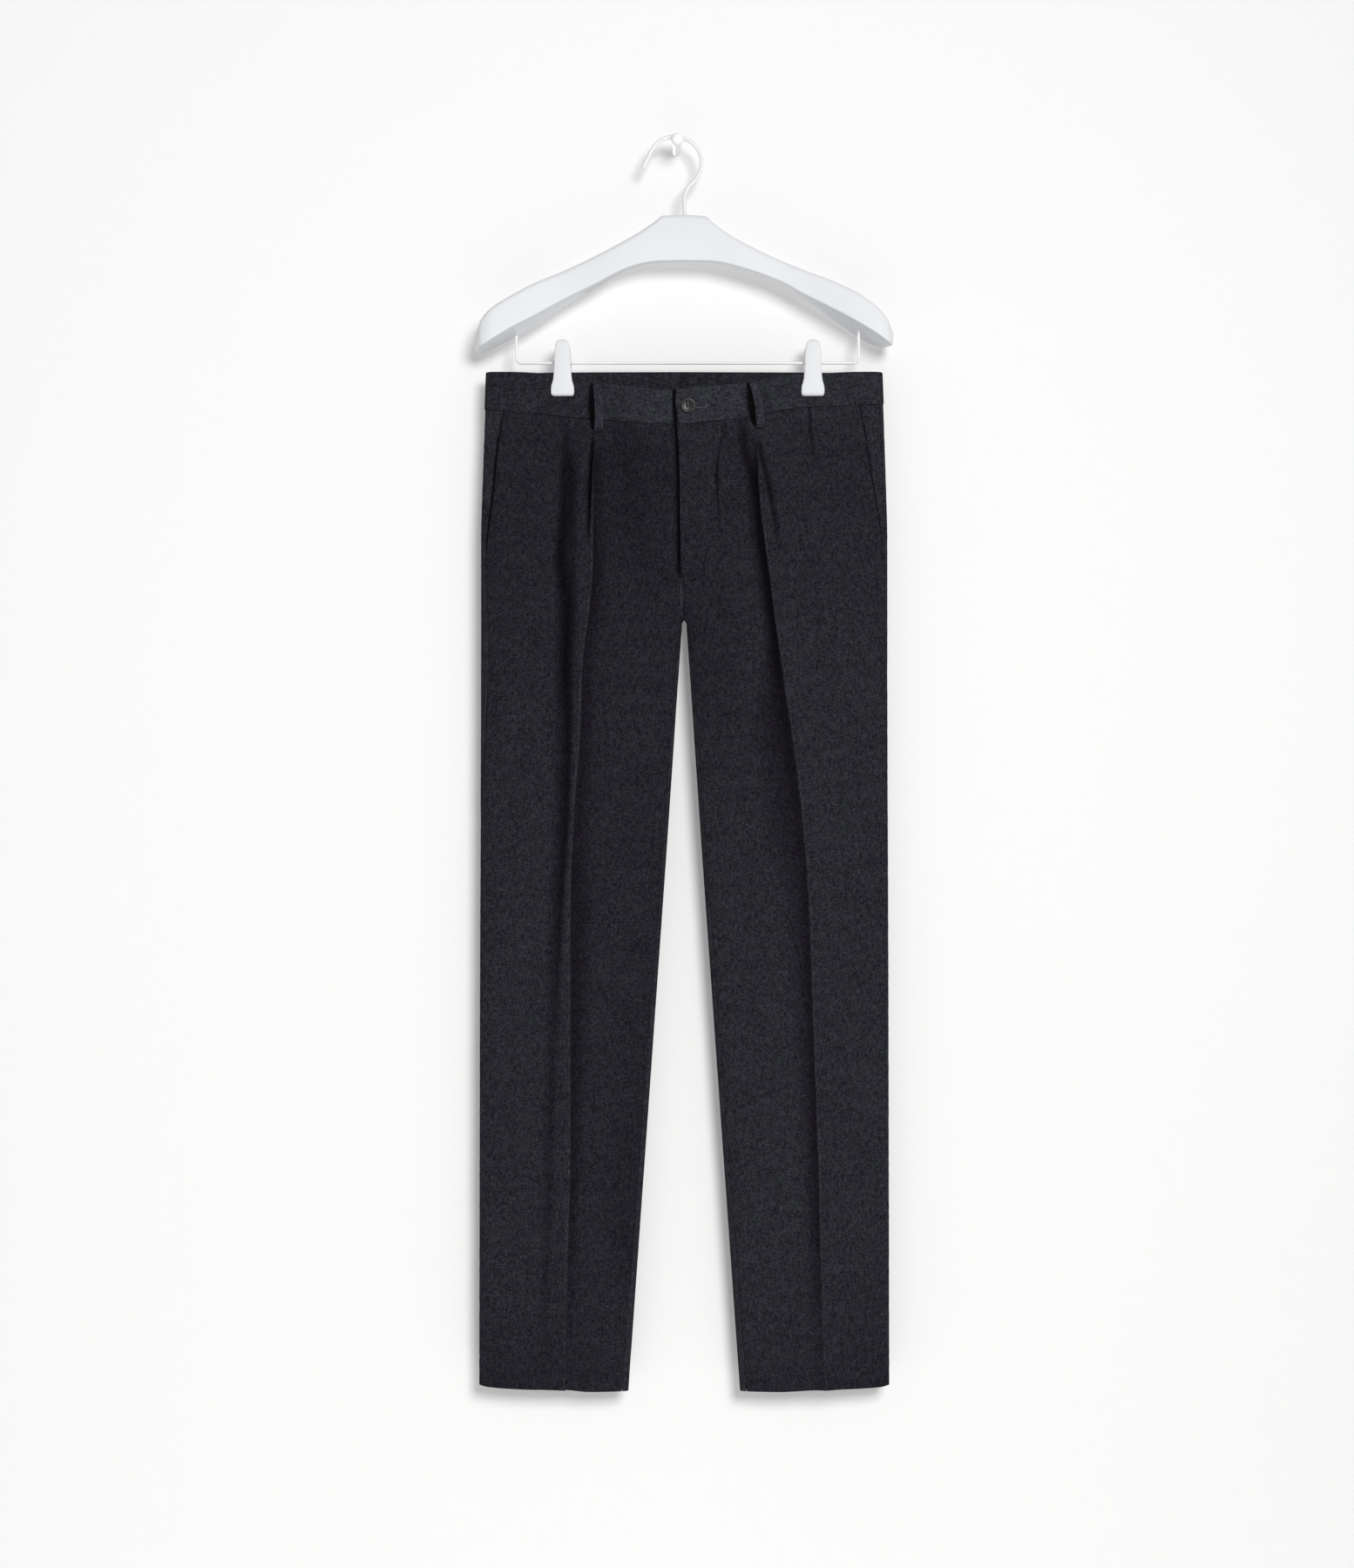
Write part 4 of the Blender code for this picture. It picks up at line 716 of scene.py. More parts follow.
def hang_cloth(name, places, side, wall, finish, way=1, origin_column=0, tone=None, down=None,
               crosswise=False):
    """A shell of cloth whose outer face runs through places, a grid of rows and columns.

    way is 1 where the columns follow the angle round the leg, and -1 where they run against it. tone is each
    place's share of the cloth's full tone, carrying its painted shade and highlight, and crosswise turns the
    weave by a right angle."""
    rows, columns = places.shape[:2]
    deselect_all()
    bpy.ops.mesh.primitive_grid_add(x_subdivisions=columns - 1, y_subdivisions=rows - 1, size=1.0)
    piece = bpy.context.object
    piece.name = piece.data.name = name
    mesh = piece.data
    flat = read_all(mesh.vertices, "co", 3)
    column = np.rint((flat[:, 0] + 0.5) * (columns - 1)).astype(int)
    row = np.rint((0.5 - flat[:, 1]) * (rows - 1)).astype(int)
    mesh.vertices.foreach_set("co", places[row, column].ravel())
    along = along_rows(places)
    along = along - along[:, origin_column:origin_column + 1]
    if down is None:
        down = -places[..., 2]
    corner = read_all(mesh.loops, "vertex_index", kind=np.int32)
    laid = np.stack((along[row, column], down[row, column]), axis=-1)[corner]
    laid = (laid[:, ::-1] if crosswise else laid) + UV_STEP * len(bpy.data.meshes)
    mesh.uv_layers[0].name = "cloth"
    mesh.uv_layers["cloth"].data.foreach_set("uv", laid.ravel())
    if tone is None:
        tone = np.ones(places.shape[:2])
    tones = mesh.attributes.new("tone", "FLOAT", "POINT")
    tones.data.foreach_set("value", tone[row, column].astype(np.float32))
    if side * way > 0:
        mesh.flip_normals()
    mesh.update()
    apply_modifier(piece, "SOLIDIFY", thickness=wall, offset=-1.0, use_quality_normals=True)
    mesh = piece.data
    rim = read_all(mesh.loops, "edge_index", kind=np.int32)[8 * (rows - 1) * (columns - 1):]
    edge, times = np.unique(rim, return_counts=True)
    weight = np.zeros(len(mesh.edges), dtype=np.float32)
    weight[edge[times == 1]] = 1.0
    mesh.attributes.new("bevel_weight_edge", "FLOAT", "EDGE").data.foreach_set("value", weight)
    apply_modifier(piece, "BEVEL", limit_method="WEIGHT", width=wall * 0.33, segments=2)
    piece.data.materials.append(finish)
    bpy.ops.object.shade_smooth()
    return piece


def settle(piece, node):
    """The piece stands for a solid, which it hides, and rides with the root body."""
    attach(piece, "root")
    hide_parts(node)


def keep_to_side(piece, side, below, seam=0.0):
    """Pares a piece off, below a drop, at the centre line or at a seam beside it that meets it lower down."""
    co = read_all(piece.data.vertices, "co", 3)
    met = ramp(WAIST_TOP - co[:, 2], CROTCH_DROP - 0.040, CROTCH_DROP - 0.006)
    line = HANGING_PLACE[0] + seam * (1.0 - met)
    x = side * (co[:, 0] - line)
    low = co[:, 2] < WAIST_TOP - below
    co[:, 0] = np.where(low, side * np.maximum(x, SEAM_GAP / 8) + line, co[:, 0])
    piece.data.vertices.foreach_set("co", co.ravel())
    piece.data.update()


DIP_DEPTH, DIP_WIDTH = 0.00035, 0.0022
PUCKER_DEPTH, PUCKER_WIDTH = 0.00013, 0.013


def edge_dip(places):
    """How far the cloth dips into the seams along both ends of its rows, with small uneven puckers."""
    along = along_rows(places)
    near = np.minimum(along, along[:, -1:] - along)
    drop = -places[..., 2]
    pucker = np.sin(drop * 410.0 + 2.0 * np.sin(drop * 93.0)) * np.sin(drop * 61.0 + 1.1)
    return (DIP_DEPTH * (1.0 - ramp(near, 0.0, DIP_WIDTH))
            + PUCKER_DEPTH * pucker * (1.0 - ramp(near, 0.0, PUCKER_WIDTH)))


def overlap_lift(out, drop, side):
    """How far a front lies above what it overlaps: the left one at the fly, each one at its pocket edge."""
    pocket = read(POCKET_EDGE[side], "out", drop) - out
    gape = POCKET_GAPE + POCKET_BOW * np.sin(math.pi * np.clip((drop - 0.045) / 0.150, 0.0, 1.0))
    lift = gape * (1.0 - ramp(pocket, 0.006, 0.030)) * (1.0 - ramp(drop, POCKET_END - 0.006, 0.212))
    if side > 0:
        fly = FLY_LIFT * (1.0 - ramp(out, 0.004, 0.034)) * (1.0 - ramp(drop, FLY_END - 0.006, FLY_FLAT))
        lift = np.maximum(lift, fly)
    return lift


def beside_loop(out, drop, side):
    """The light lost under a front belt loop and in the shadow it throws on the cloth beside it."""
    lost = np.zeros_like(drop)
    for loop in FRONT_LOOPS:
        if loop.side == side:
            share = np.clip((drop - loop.top_drop) / (loop.foot_drop - loop.top_drop), 0.0, 1.0)
            past = -side * (out - loop.top_out - (loop.foot_out - loop.top_out) * share) - loop.width / 2
            reach = 0.0016 + 0.0052 * np.sin(math.pi * (share if side < 0 else share ** 1.5)) ** 0.8
            near = 1.0 - ramp(past, reach * 0.6, reach + 0.0008)
            near = near * ramp(past, -loop.width, -loop.width * 0.85)
            lost = np.maximum(lost, 0.95 * near * ramp(share, 0.0, 0.05) * (1.0 - ramp(share, 0.95, 1.0)))
    return lost


FLY_LINE = table("drop out", (0.04, 0.045), (0.066, 0.0405), (0.104, 0.0334), (0.172, 0.0344), (0.26, 0.044),
                 (HEM_DROP, 0.09))
FRONT_SHARES = (spaced(34, 0.7, 0.5), spaced(38, 0.5, 0.22), spaced(36, 0.12, 0.35), spaced(24, 0.35, 0.6))
# How far either side of the crease its painted highlight reaches.
CREST_REACH = 0.0014
linen_front = linen("linen_front")
fronts = {}
for side, label in SIDES:
    row = panel_rows(300, 0.55)
    start = side_seam(row, side)
    mouth = turn(read(POCKET_EDGE[side], "out", row), row)
    start = np.where(row < POCKET_END + 0.007, np.maximum(start, mouth), start)
    start = start + half_gap(start, row)
    sewn = inseam(row) - half_gap(inseam(row), row)
    if side > 0:
        loose = turn(read(FLY_EDGE, "out", row), row)
    else:
        loose = turn(-FLY_UNDER * np.clip((FLY_SEWN - row) / (FLY_SEWN - FLY_END), 0.0, 1.0), row)
    end = np.where(row > FLY_SEWN, sewn, loose)
    pleat, crease, line = (turn(read(rows, "out", row), row)
                           for rows in (PLEAT[side], CREASE[side], FLY_LINE))
    angle = columns_between((start, pleat, FRONT_SHARES[0]), (pleat, crease, FRONT_SHARES[1]),
                            (crease, line, FRONT_SHARES[2]), (line, end, FRONT_SHARES[3]))
    nominal = np.repeat(row[:, None], angle.shape[1], axis=1)
    out = out_at(angle, nominal)
    drop = panel_drop(nominal, out, side, 1)
    lift = overlap_lift(out, drop, side) + PANEL_WALL / 2
    places = cloth_point(angle, drop, side, lift)
    places = cloth_point(angle, drop, side, lift - edge_dip(places))
    # Painted highlight: a lighter line along the crease's crest.
    at_crease = np.abs(out - read(CREASE[side], "out", drop))
    crest_highlight = (1.0 - ramp(at_crease, 0.0004, CREST_REACH)) * ramp(drop, 0.09, 0.16)
    # Painted shade: the leg darker inside the crease, along the inseam, at the hips and at the hem.
    within = read(CREASE[side], "out", drop) - out
    inside, by_inseam = ramp(within, -0.004, 0.012), ramp(within, 0.022, 0.060)
    outer, inner, low = (read(LEG_SHADE[side], column, drop) for column in ("outer", "inner", "inseam"))
    leg_shade = outer * (1.0 - inside) + inside * (inner * (1.0 - by_inseam) + low * by_inseam)
    crest_highlight = (0.26 if side > 0 else 0.52 - 0.26 * ramp(drop, 0.28, 0.50)) * crest_highlight
    # The cloth's tone carries the painted shade of the leg and its folds, and the crease's painted highlight.
    tone = leg_shade * (1.0 + crest_highlight) * after_painted_shade(FRONT_SHADES[side], CREASE[side], out, drop)
    tone = tone * (1.0 - beside_loop(out, drop, side))
    front = hang_cloth(f"linen_front_{label}", places, side, PANEL_WALL, linen_front,
                       origin_column=len(FRONT_SHARES[0]) + len(FRONT_SHARES[1]) - 2, tone=tone)
    keep_to_side(front, side, FLY_SEWN + 0.004)
    settle(front, f"front_{label}")
    fronts[side] = front

# ---------------------------------------------------------------- the back panels
# Two backs of the same linen, sewn to each other up the seat and to the fronts along the side and the
# inseam, which they bring a little way round to the front. Their pressed crease fades out below the seat.
SEAT_SEAM = -0.0014
linen_back = linen("linen_back")
for side, label in SIDES:
    row = panel_rows(240, 0.6)
    start = side_seam(row, side)
    start = start - np.maximum(half_gap(start, row), 1e-5)
    end = np.where(row > CROTCH_DROP, inseam(row) + half_gap(inseam(row), row) - 2.0 * math.pi, -math.pi)
    crease = turn(read(BACK_CREASE, "out", row), row, -1)
    angle = columns_between((start, crease, spaced(43, 0.7, 0.3)), (crease, end, spaced(40, 0.3, 0.7)))
    nominal = np.repeat(row[:, None], angle.shape[1], axis=1)
    out = out_at(angle, nominal)
    face = np.where(np.sin(angle) > 0.0, 1, -1)
    drop = panel_drop(nominal, out, side, face)
    places = cloth_point(angle, drop, side, np.full_like(drop, PANEL_WALL / 2))
    places = cloth_point(angle, drop, side, PANEL_WALL / 2 - edge_dip(places))
    at_crease = np.where(face < 0, np.abs(out - read(BACK_CREASE, "out", drop)), 1.0)
    if side > 0:
        carried = np.where(face < 0, SEAT_SEAM * (1.0 - ramp(out, 0.0, 0.012)), 0.0)
        places[..., 0] += carried * (drop < CROTCH_DROP)
    # Painted highlight along the back crease's crest, and painted shade inside it.
    crest_highlight = (1.0 - ramp(at_crease, 0.0006, 0.0020)) * ramp(drop, 0.20, 0.34)
    inner = after_painted_shade((Fold("centre", "step", BACK_SHADE),), BACK_CREASE, out, drop)
    tone = 0.96 * (1.0 + 0.30 * crest_highlight) * np.where(face < 0, inner, 1.0)
    back = hang_cloth(f"linen_back_{label}", places, side, PANEL_WALL, linen_back, way=-1, origin_column=43,
                      tone=tone)
    keep_to_side(back, side, 0.0, SEAT_SEAM)
    settle(back, f"back_{label}")

# ---------------------------------------------------------------- the waistband
# A waistband in two halves, joined at the centre back: linen folded over a stiffener, so it is thicker and
# smoother than the panels. Its left end runs on past the centre as a tab that buttons over the right one.
BAND_WALL = 0.0015
TAB_EDGE = table("share out", (0.0, -0.0082), (0.35, -0.0092), (0.65, -0.0076), (1.0, -0.006))
TAB_LIFT = 0.0032
TAB_SHADOW = table("drop out", (0.02, 0.01), (0.036, 0.0104), (0.058, 0.0088))
TAB_HOLLOW = (0.0130, 0.0055, 0.0016)  # in the right half past the tab's end: out, reach, depth
BAND_PROUD = 0.0001                   # how far the band stands proud of the panels
SIDE_EASE, SIDE_REACH = 0.0010, 0.006
SOFT_EDGE, SOFT_SHARE = 0.00035, 0.10
BUTTONHOLE = (0.0110, 0.0216, 0.0398)  # from, to, drop
# Painted light: the band's linen is a lighter copy of the panels'.
linen_band = linen("linen_band", ground=(0.0068, 0.0062, 0.0094, 1.0), fleck=(0.0545, 0.058, 0.066, 1.0))


def same_edge(angle, out, drop):
    """The angle at another drop that keeps the same distance from the side, or from the centre line."""
    near_side = out > WAIST_HALF - 0.012
    moved = np.where(near_side, out + outer_edge(drop) - WAIST_HALF, out)
    return np.copysign(turn(moved, drop), angle)


for side, label in SIDES:
    edge = WAIST_HALF - 0.004
    front_out = np.linspace(TAB_EDGE["out"][0] if side > 0 else -FLY_UNDER, edge, 130)
    back_out = np.linspace(edge, 0.0, 80)
    zero = np.zeros_like
    front_turn = turn(front_out, zero(front_out))
    back_turn = turn(back_out, zero(back_out), -1)
    side_turn = np.linspace(front_turn[-1], back_turn[0], 14)[1:-1]
    around = np.concatenate((front_turn, side_turn, back_turn))
    share = np.concatenate((np.linspace(0.0, 0.51, 14), np.linspace(0.53, 0.61, 15),
                            np.linspace(0.63, 1.0, 11)))
    angle = np.repeat(around[None, :], len(share), axis=0)
    out = out_at(angle, zero(angle))
    face = np.where(angle > 0.0, 1, -1)
    if side > 0:
        first = TAB_EDGE["out"][0]
        moved = (read(TAB_EDGE, "out", share) - first)[:, None] * (1.0 - ramp(out, first, 0.012))
        angle = np.where(face > 0, turn(out + moved, zero(out)), angle)
        out = out_at(angle, zero(angle))
    top, seam = band_edge("top", side * out, face), band_edge("seam", side * out, face)
    drop = top + (seam - top) * share[:, None]
    lift = np.full_like(drop, PANEL_WALL / 2 + BAND_PROUD)
    if side > 0:
        lift += np.where(face > 0, TAB_LIFT * (1.0 - ramp(out, 0.014, 0.036)), 0.0)
    else:
        hollow_out, reach, deep = TAB_HOLLOW
        lift -= np.where(face > 0, deep * (1.0 - ramp(np.abs(out - hollow_out), 0.0, reach)), 0.0)
    lift -= SIDE_EASE * (1.0 - ramp(outer_edge(drop) - out, 0.0, SIDE_REACH))
    soft_edges = SOFT_EDGE * np.maximum(1.0 - np.minimum(share, 1.0 - share) / SOFT_SHARE, 0.0) ** 2
    lift -= soft_edges[:, None]
    places = cloth_point(same_edge(angle, out, drop), drop, side, lift)
    lost = np.where(face > 0, beside_loop(out, drop, side), 0.0)
    if side > 0:
        # Painted shade in the buttonhole's slit.
        past_end = np.maximum(np.abs(out - sum(BUTTONHOLE[:2]) / 2) - 0.0038, 0.0)
        at_slit = np.abs(drop - BUTTONHOLE[2]) + past_end
        lost = np.maximum(lost, np.where(face > 0, 0.85 * (1.0 - ramp(at_slit, 0.0003, 0.0009)), 0.0))
    else:
        at_tab = np.abs(out - np.interp(drop, TAB_SHADOW["drop"], TAB_SHADOW["out"]))
        lost = np.maximum(lost, np.where(face > 0, 0.94 * (1.0 - ramp(at_tab, 0.0014, 0.0032)), 0.0))
    # Painted shade and light: the back half darker, in streaks like the shade of small gathers; the front
    # lighter towards the centre and, on the right half, darker towards the side.
    gather_shade = np.maximum(np.sin(out * 720.0) * np.sin(out * 193.0 + 1.0), 0.0) * (1.0 - ramp(out, 0.05, 0.10))
    darker = 0.19 if side < 0 else 0.0
    painted_light_and_shade = (1.0 + 0.16 * (1.0 - ramp(out, 0.035, 0.075))) * (1.0 - darker * ramp(out, 0.08, 0.115))
    tone = (1.0 - lost) * np.where(face < 0, 0.92 - 0.30 * gather_shade, painted_light_and_shade)
    band = hang_cloth(f"linen_waistband_{label}", places, side, BAND_WALL, linen_band, tone=tone, down=drop,
                      crosswise=True)
    settle(band, f"waistband_{label}")
    if side > 0:
        tab = band

# ---------------------------------------------------------------- the pocket facings
# The strip of linen seen in each slant pocket's mouth. It is sewn to the back along the side seam and runs
# on under the front's folded edge, which stands a little off it.
for side, label in SIDES:
    row = np.linspace(WAIST_ROW, POCKET_END - 0.004, 60)
    start = side_seam(row, side)
    start = start + half_gap(start, row)
    end = turn(read(POCKET_EDGE[side], "out", row) - 0.012, row)
    angle = columns_between((start, end, np.linspace(0.0, 1.0, 22)))
    nominal = np.repeat(row[:, None], angle.shape[1], axis=1)
    drop = panel_drop(nominal, out_at(angle, nominal), side, 1)
    places = cloth_point(angle, drop, side, np.full_like(drop, PANEL_WALL / 2))
    # Painted shadow: the facing is darkened in a strip under the front's edge, wider on the right pocket.
    mouth = out_at(angle, nominal) - read(POCKET_EDGE[side], "out", nominal)
    along = np.clip((nominal - 0.036) / 0.160, 0.0, 1.0)
    reach = np.where(side < 0, 0.0026, 0.0014) * np.sin(math.pi * along) ** 0.6
    tone = 0.95 * (1.0 - 0.90 * (1.0 - ramp(mouth, reach, reach + 0.0012)))
    facing = hang_cloth(f"linen_pocket_facing_{label}", places, side, PANEL_WALL, linen_back, tone=tone)
    settle(facing, f"pocket_facing_{label}")

# ---------------------------------------------------------------- the belt loops
# Five loops of linen folded in three, each sewn down at its top and foot with a short dense bar of thread
# and standing a little off the waistband between them.
LOOP_WALL = 0.0016
LOOP_ROWS, LOOP_COLUMNS = 44, 11
BAR_THREAD = 0.00055
BAR_STITCHES = 12
UPRIGHT = Vector((0.0, 0.0, 1.0))
LOOPS = FRONT_LOOPS + (
    Loop("loop_back_left", 1, -1, 0.1000, 0.0010, 0.1000, 0.0480, 0.0110),
    Loop("loop_back_right", -1, -1, 0.1000, 0.0010, 0.1000, 0.0480, 0.0110),
    Loop("loop_centre_back", 1, -1, 0.0000, 0.0010, 0.0000, 0.0480, 0.0110),
)
linen_loop = linen("linen_loop", ground=(0.0098, 0.0084, 0.0132, 1.0), fleck=(0.066, 0.063, 0.080, 1.0))


def stitch(name, middle, along, outward, length, thread):
    """One stitch: a short rounded stretch of thread, half sunk in the cloth."""
    deselect_all()
    bpy.ops.mesh.primitive_uv_sphere_add(segments=6, ring_count=4, radius=0.5)
    made = bpy.context.object
    made.name = name
    across = outward.cross(along).normalized()
    for vertex in made.data.vertices:
        x, y, z = vertex.co.y * thread, vertex.co.z * length, vertex.co.x * thread
        vertex.co = middle + across * x + along * y + outward * z
    return made


def face_outward():
    """Turns the active piece's faces outward."""
    bpy.ops.object.mode_set(mode="EDIT")
    bpy.ops.mesh.select_all(action="SELECT")
    bpy.ops.mesh.normals_make_consistent(inside=False)
    bpy.ops.object.mode_set(mode="OBJECT")


def sew(name, stitches, finish=None):
    """Joins stitches into one piece that rides with the cloth."""
    deselect_all()
    for made in stitches:
        made.select_set(True)
    bpy.context.view_layer.objects.active = stitches[0]
    bpy.ops.object.join()
    seam = bpy.context.object
    seam.name = seam.data.name = name
    bpy.ops.object.transform_apply(location=True, rotation=True, scale=True)
    face_outward()
    bpy.ops.object.shade_smooth()
    seam.data.materials.clear()
    seam.data.materials.append(finish or dark_thread)
    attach(seam, "root")
    return seam


def thread_of(name, tint):
    """Twisted thread of one dye."""
    made, tree, shader = new_material(name)
    place = put(tree, "ShaderNodeTexCoord", output="Object")
    twist = put(tree, "ShaderNodeTexNoise", {"Vector": place, "Scale": 900.0, "Detail": 2.0})
    tone = put(tree, "ShaderNodeMapRange", (twist, 0.3, 0.7, 0.75, 1.25))
    shade = put(tree, "ShaderNodeVectorMath", {0: tint, "Scale": tone}, operation="SCALE")
    tree.links.new(shade, shader.inputs["Base Color"])
    set_inputs(shader, {"Roughness": 0.7, "Specular IOR Level": 0.1})
    return made


dark_thread = thread_of("dark_thread", (0.0075, 0.0070, 0.0095))
# Black thread: painted shade along the fly's stitched line.
seam_shadow_thread = thread_of("seam_shadow_thread", (0.0030, 0.0028, 0.0040))
pale_thread = thread_of("pale_thread", (0.075, 0.072, 0.092))

for loop in LOOPS:
    share = np.linspace(0.0, 1.0, LOOP_ROWS)[:, None]
    across = np.linspace(-0.5, 0.5, LOOP_COLUMNS)[None, :]
    out = loop.top_out + (loop.foot_out - loop.top_out) * share + loop.width * across
    if loop.face > 0:
        out = out + loop.side * 0.0013 * np.sin(math.pi * share)
    drop = loop.top_drop + (loop.foot_drop - loop.top_drop) * share + zero(across)
    out = out + zero(drop)
    stand = 0.0016 + LOOP_WALL + 0.0020 * np.sin(math.pi * share) ** 0.7
    stand = stand - 0.0003 * (2.0 * across) ** 4 + 0.00012 * np.sin(drop * 330.0 + out * 90.0)
    own = np.abs(out)
    places = cloth_point(turn(own, drop, loop.face), drop, loop.side, stand)
    if loop.top_out == 0.0:
        mirrored = cloth_point(turn(own, drop, loop.face), drop, -loop.side, stand)
        places = np.where((out < 0.0)[..., None], mirrored, places)
    strip = hang_cloth(f"linen_{loop.name}", places, loop.side, LOOP_WALL, linen_loop, way=-loop.face,
                       down=drop)
    settle(strip, loop.name)
    outward = Vector((0.0, -loop.face, 0.0))
    bars = []
    for at_row in (2, LOOP_ROWS - 3):
        left, right = Vector(places[at_row, 1]), Vector(places[at_row, LOOP_COLUMNS - 2])
        for i in range(BAR_STITCHES):
            middle = left.lerp(right, (i + 0.5) / BAR_STITCHES) + outward * 0.00005
            bars.append(stitch("bar", middle, UPRIGHT, outward, 0.0019, BAR_THREAD))
    sew(f"thread_{loop.name}", bars)

# ---------------------------------------------------------------- the seams' stitching
# Rows of thread: the curved row that holds the fly's facing, black as painted shade along its stitched line,
# the edge row below it, the rows along the pocket mouths in matching thread with a bar of thread at each end,
# and the worked buttonhole in the waistband tab.


def on_cloth(piece, x, z):
    """The point of a piece met from in front at this place, and the cloth's outward way there."""
    hit, place, normal, _ = piece.ray_cast(Vector((x, -0.2, z)), Vector((0.0, 1.0, 0.0)))
    return (place, normal) if hit else (None, None)


SUNK = 0.00002                        # how deep a row's stitches are drawn in


def sewn_row(piece, side, path, pitch, length, thread=0.00042):
    """Stitches at an even pitch along a path of (out, drop) points on a front piece."""
    points = np.array(path, dtype=float)
    steps = np.linalg.norm(np.diff(points, axis=0), axis=1)
    reach = np.concatenate(([0.0], np.cumsum(steps)))
    made = []
    for at in np.arange(pitch / 2, reach[-1], pitch):
        ends = []
        for where in (at - length / 2, at + length / 2):
            out, drop = np.interp(where, reach, points[:, 0]), np.interp(where, reach, points[:, 1])
            ends.append(on_cloth(piece, side * out + HANGING_PLACE[0], WAIST_TOP - drop))
        (first, normal), (second, _) = ends
        if first is None or second is None:
            continue
        along = (second - first).normalized()
        middle = (first + second) / 2 - normal * SUNK
        made.append(stitch("stitch", middle, along, normal, (second - first).length, thread))
    return made


def bar_tack(piece, side, out, drop, way, size, count):
    """A short dense bar of thread across a line of stress."""
    made = []
    way = Vector(way).normalized()
    for i in range(count):
        shift = way * size * ((i + 0.5) / count - 0.5)
        place, normal = on_cloth(piece, side * out + HANGING_PLACE[0] + shift.x, WAIST_TOP - drop + shift.y)
        if place is not None:
            along = Vector((-way.y, 0.0, way.x))
            made.append(stitch("bar", place, along, normal, 0.0018, BAR_THREAD))
    return made


FLY_CURVE = ((0.0300, 0.0560), (0.0314, 0.1228), (0.0323, 0.1563), (0.0286, 0.1790), (0.0232, 0.1960),
             (0.0205, 0.2060), (0.0200, 0.2130), (0.0185, 0.2165), (0.0161, 0.2194), (0.0128, 0.2217),
             (0.0085, 0.2236), (0.0050, 0.2242))
left_front = fronts[1]
rows_of_thread = sewn_row(left_front, 1, FLY_CURVE[:5], 0.0031, 0.0024)
rows_of_thread += sewn_row(left_front, 1, FLY_CURVE[4:], 0.0022, 0.0022, thread=0.0013)
rows_of_thread += bar_tack(left_front, 1, 0.0022, 0.2165, (1.0, 0.35), 0.006, 8)
sew("thread_fly", rows_of_thread, finish=seam_shadow_thread)
below_fly = sewn_row(fronts[-1], -1, ((0.0034, 0.2280), (0.0032, 0.2530)), 0.0026, 0.0023, thread=0.0008)
sew("thread_below_fly", below_fly, finish=pale_thread)
for side, label in SIDES:
    edge = POCKET_EDGE[side]
    path = [(out - 0.0062, drop) for drop, out in zip(edge["drop"], edge["out"]) if drop < 0.19]
    made = sewn_row(fronts[side], side, path, 0.0031, 0.0023)
    for at_drop in (0.050, 0.186):
        out = float(read(edge, "out", at_drop)) - 0.0035
        made += bar_tack(fronts[side], side, out, at_drop, (1.0, 0.0), 0.0060, 9)
    sew(f"thread_pocket_{label}", made)

SLIT_PITCH, SLIT_BELOW = 0.00048, 0.0011
END_DROP, END_STEP, END_RISE = 0.0412, 0.00050, 0.00046
made = []
for i in range(22):                   # along the slit's lower edge
    x = HANGING_PLACE[0] + BUTTONHOLE[0] + SLIT_PITCH * i
    place, normal = on_cloth(tab, x, WAIST_TOP - BUTTONHOLE[2] - SLIT_BELOW)
    made.append(stitch("edge", place, UPRIGHT, normal, 0.0012, BAR_THREAD))
for i in range(9):                    # slanting up from its outer end
    x = HANGING_PLACE[0] + BUTTONHOLE[1] + END_STEP * i
    place, normal = on_cloth(tab, x, WAIST_TOP - END_DROP + END_RISE * i)
    made.append(stitch("end", place, Vector((-0.35, 0.0, 1.0)).normalized(), normal, 0.0022, 0.00065))
sew("thread_buttonhole", made, finish=pale_thread)

# ---------------------------------------------------------------- the button
# A four-hole button of dark horn with a raised rim and a dished face, sewn through the waistband tab.
BUTTON_RADIUS = 0.0077
HOLE_PLACES = (-0.00145, 0.00145)
HOLE_RADIUS, HOLE_LENGTH = 0.00095, 0.008
STRAND_PLACES = (-0.00022, 0.00022)


def draw_out(name, rings):
    """A closed solid drawn out ring by ring from a flat face, each ring with the same number of points."""
    deselect_all()
    bpy.ops.mesh.primitive_circle_add(vertices=len(rings[0]), radius=1.0, fill_type="NGON")
    made = bpy.context.object
    made.name = made.data.name = name
    for vertex, point in zip(made.data.vertices, rings[0]):
        vertex.co = point
    before = np.array(rings[0], dtype=float)
    bpy.ops.object.mode_set(mode="EDIT")
    bpy.ops.mesh.select_all(action="SELECT")
    for ring in rings[1:]:
        bpy.ops.mesh.extrude_region_move()
        bpy.ops.object.mode_set(mode="OBJECT")
        for vertex in made.data.vertices:
            if vertex.select:
                nearest = np.argmin(((before - np.array(vertex.co)) ** 2).sum(axis=1))
                vertex.co = ring[nearest]
        before = np.array(ring, dtype=float)
        bpy.ops.object.mode_set(mode="EDIT")
    face_outward()
    bpy.ops.object.shade_smooth_by_angle(angle=math.radians(38.0))
    return made


def circle_rings(profile, middle, axis, count):
    """Rings round an axis for a profile of (radius, along) pairs."""
    axis = Vector(axis).normalized()
    right = axis.orthogonal().normalized()
    up = axis.cross(right)
    rings = []
    for radius, along in profile:
        turned = [math.tau * i / count for i in range(count)]
        rings.append([Vector(middle) + axis * along + (right * math.cos(a) + up * math.sin(a)) * radius
                      for a in turned])
    return rings


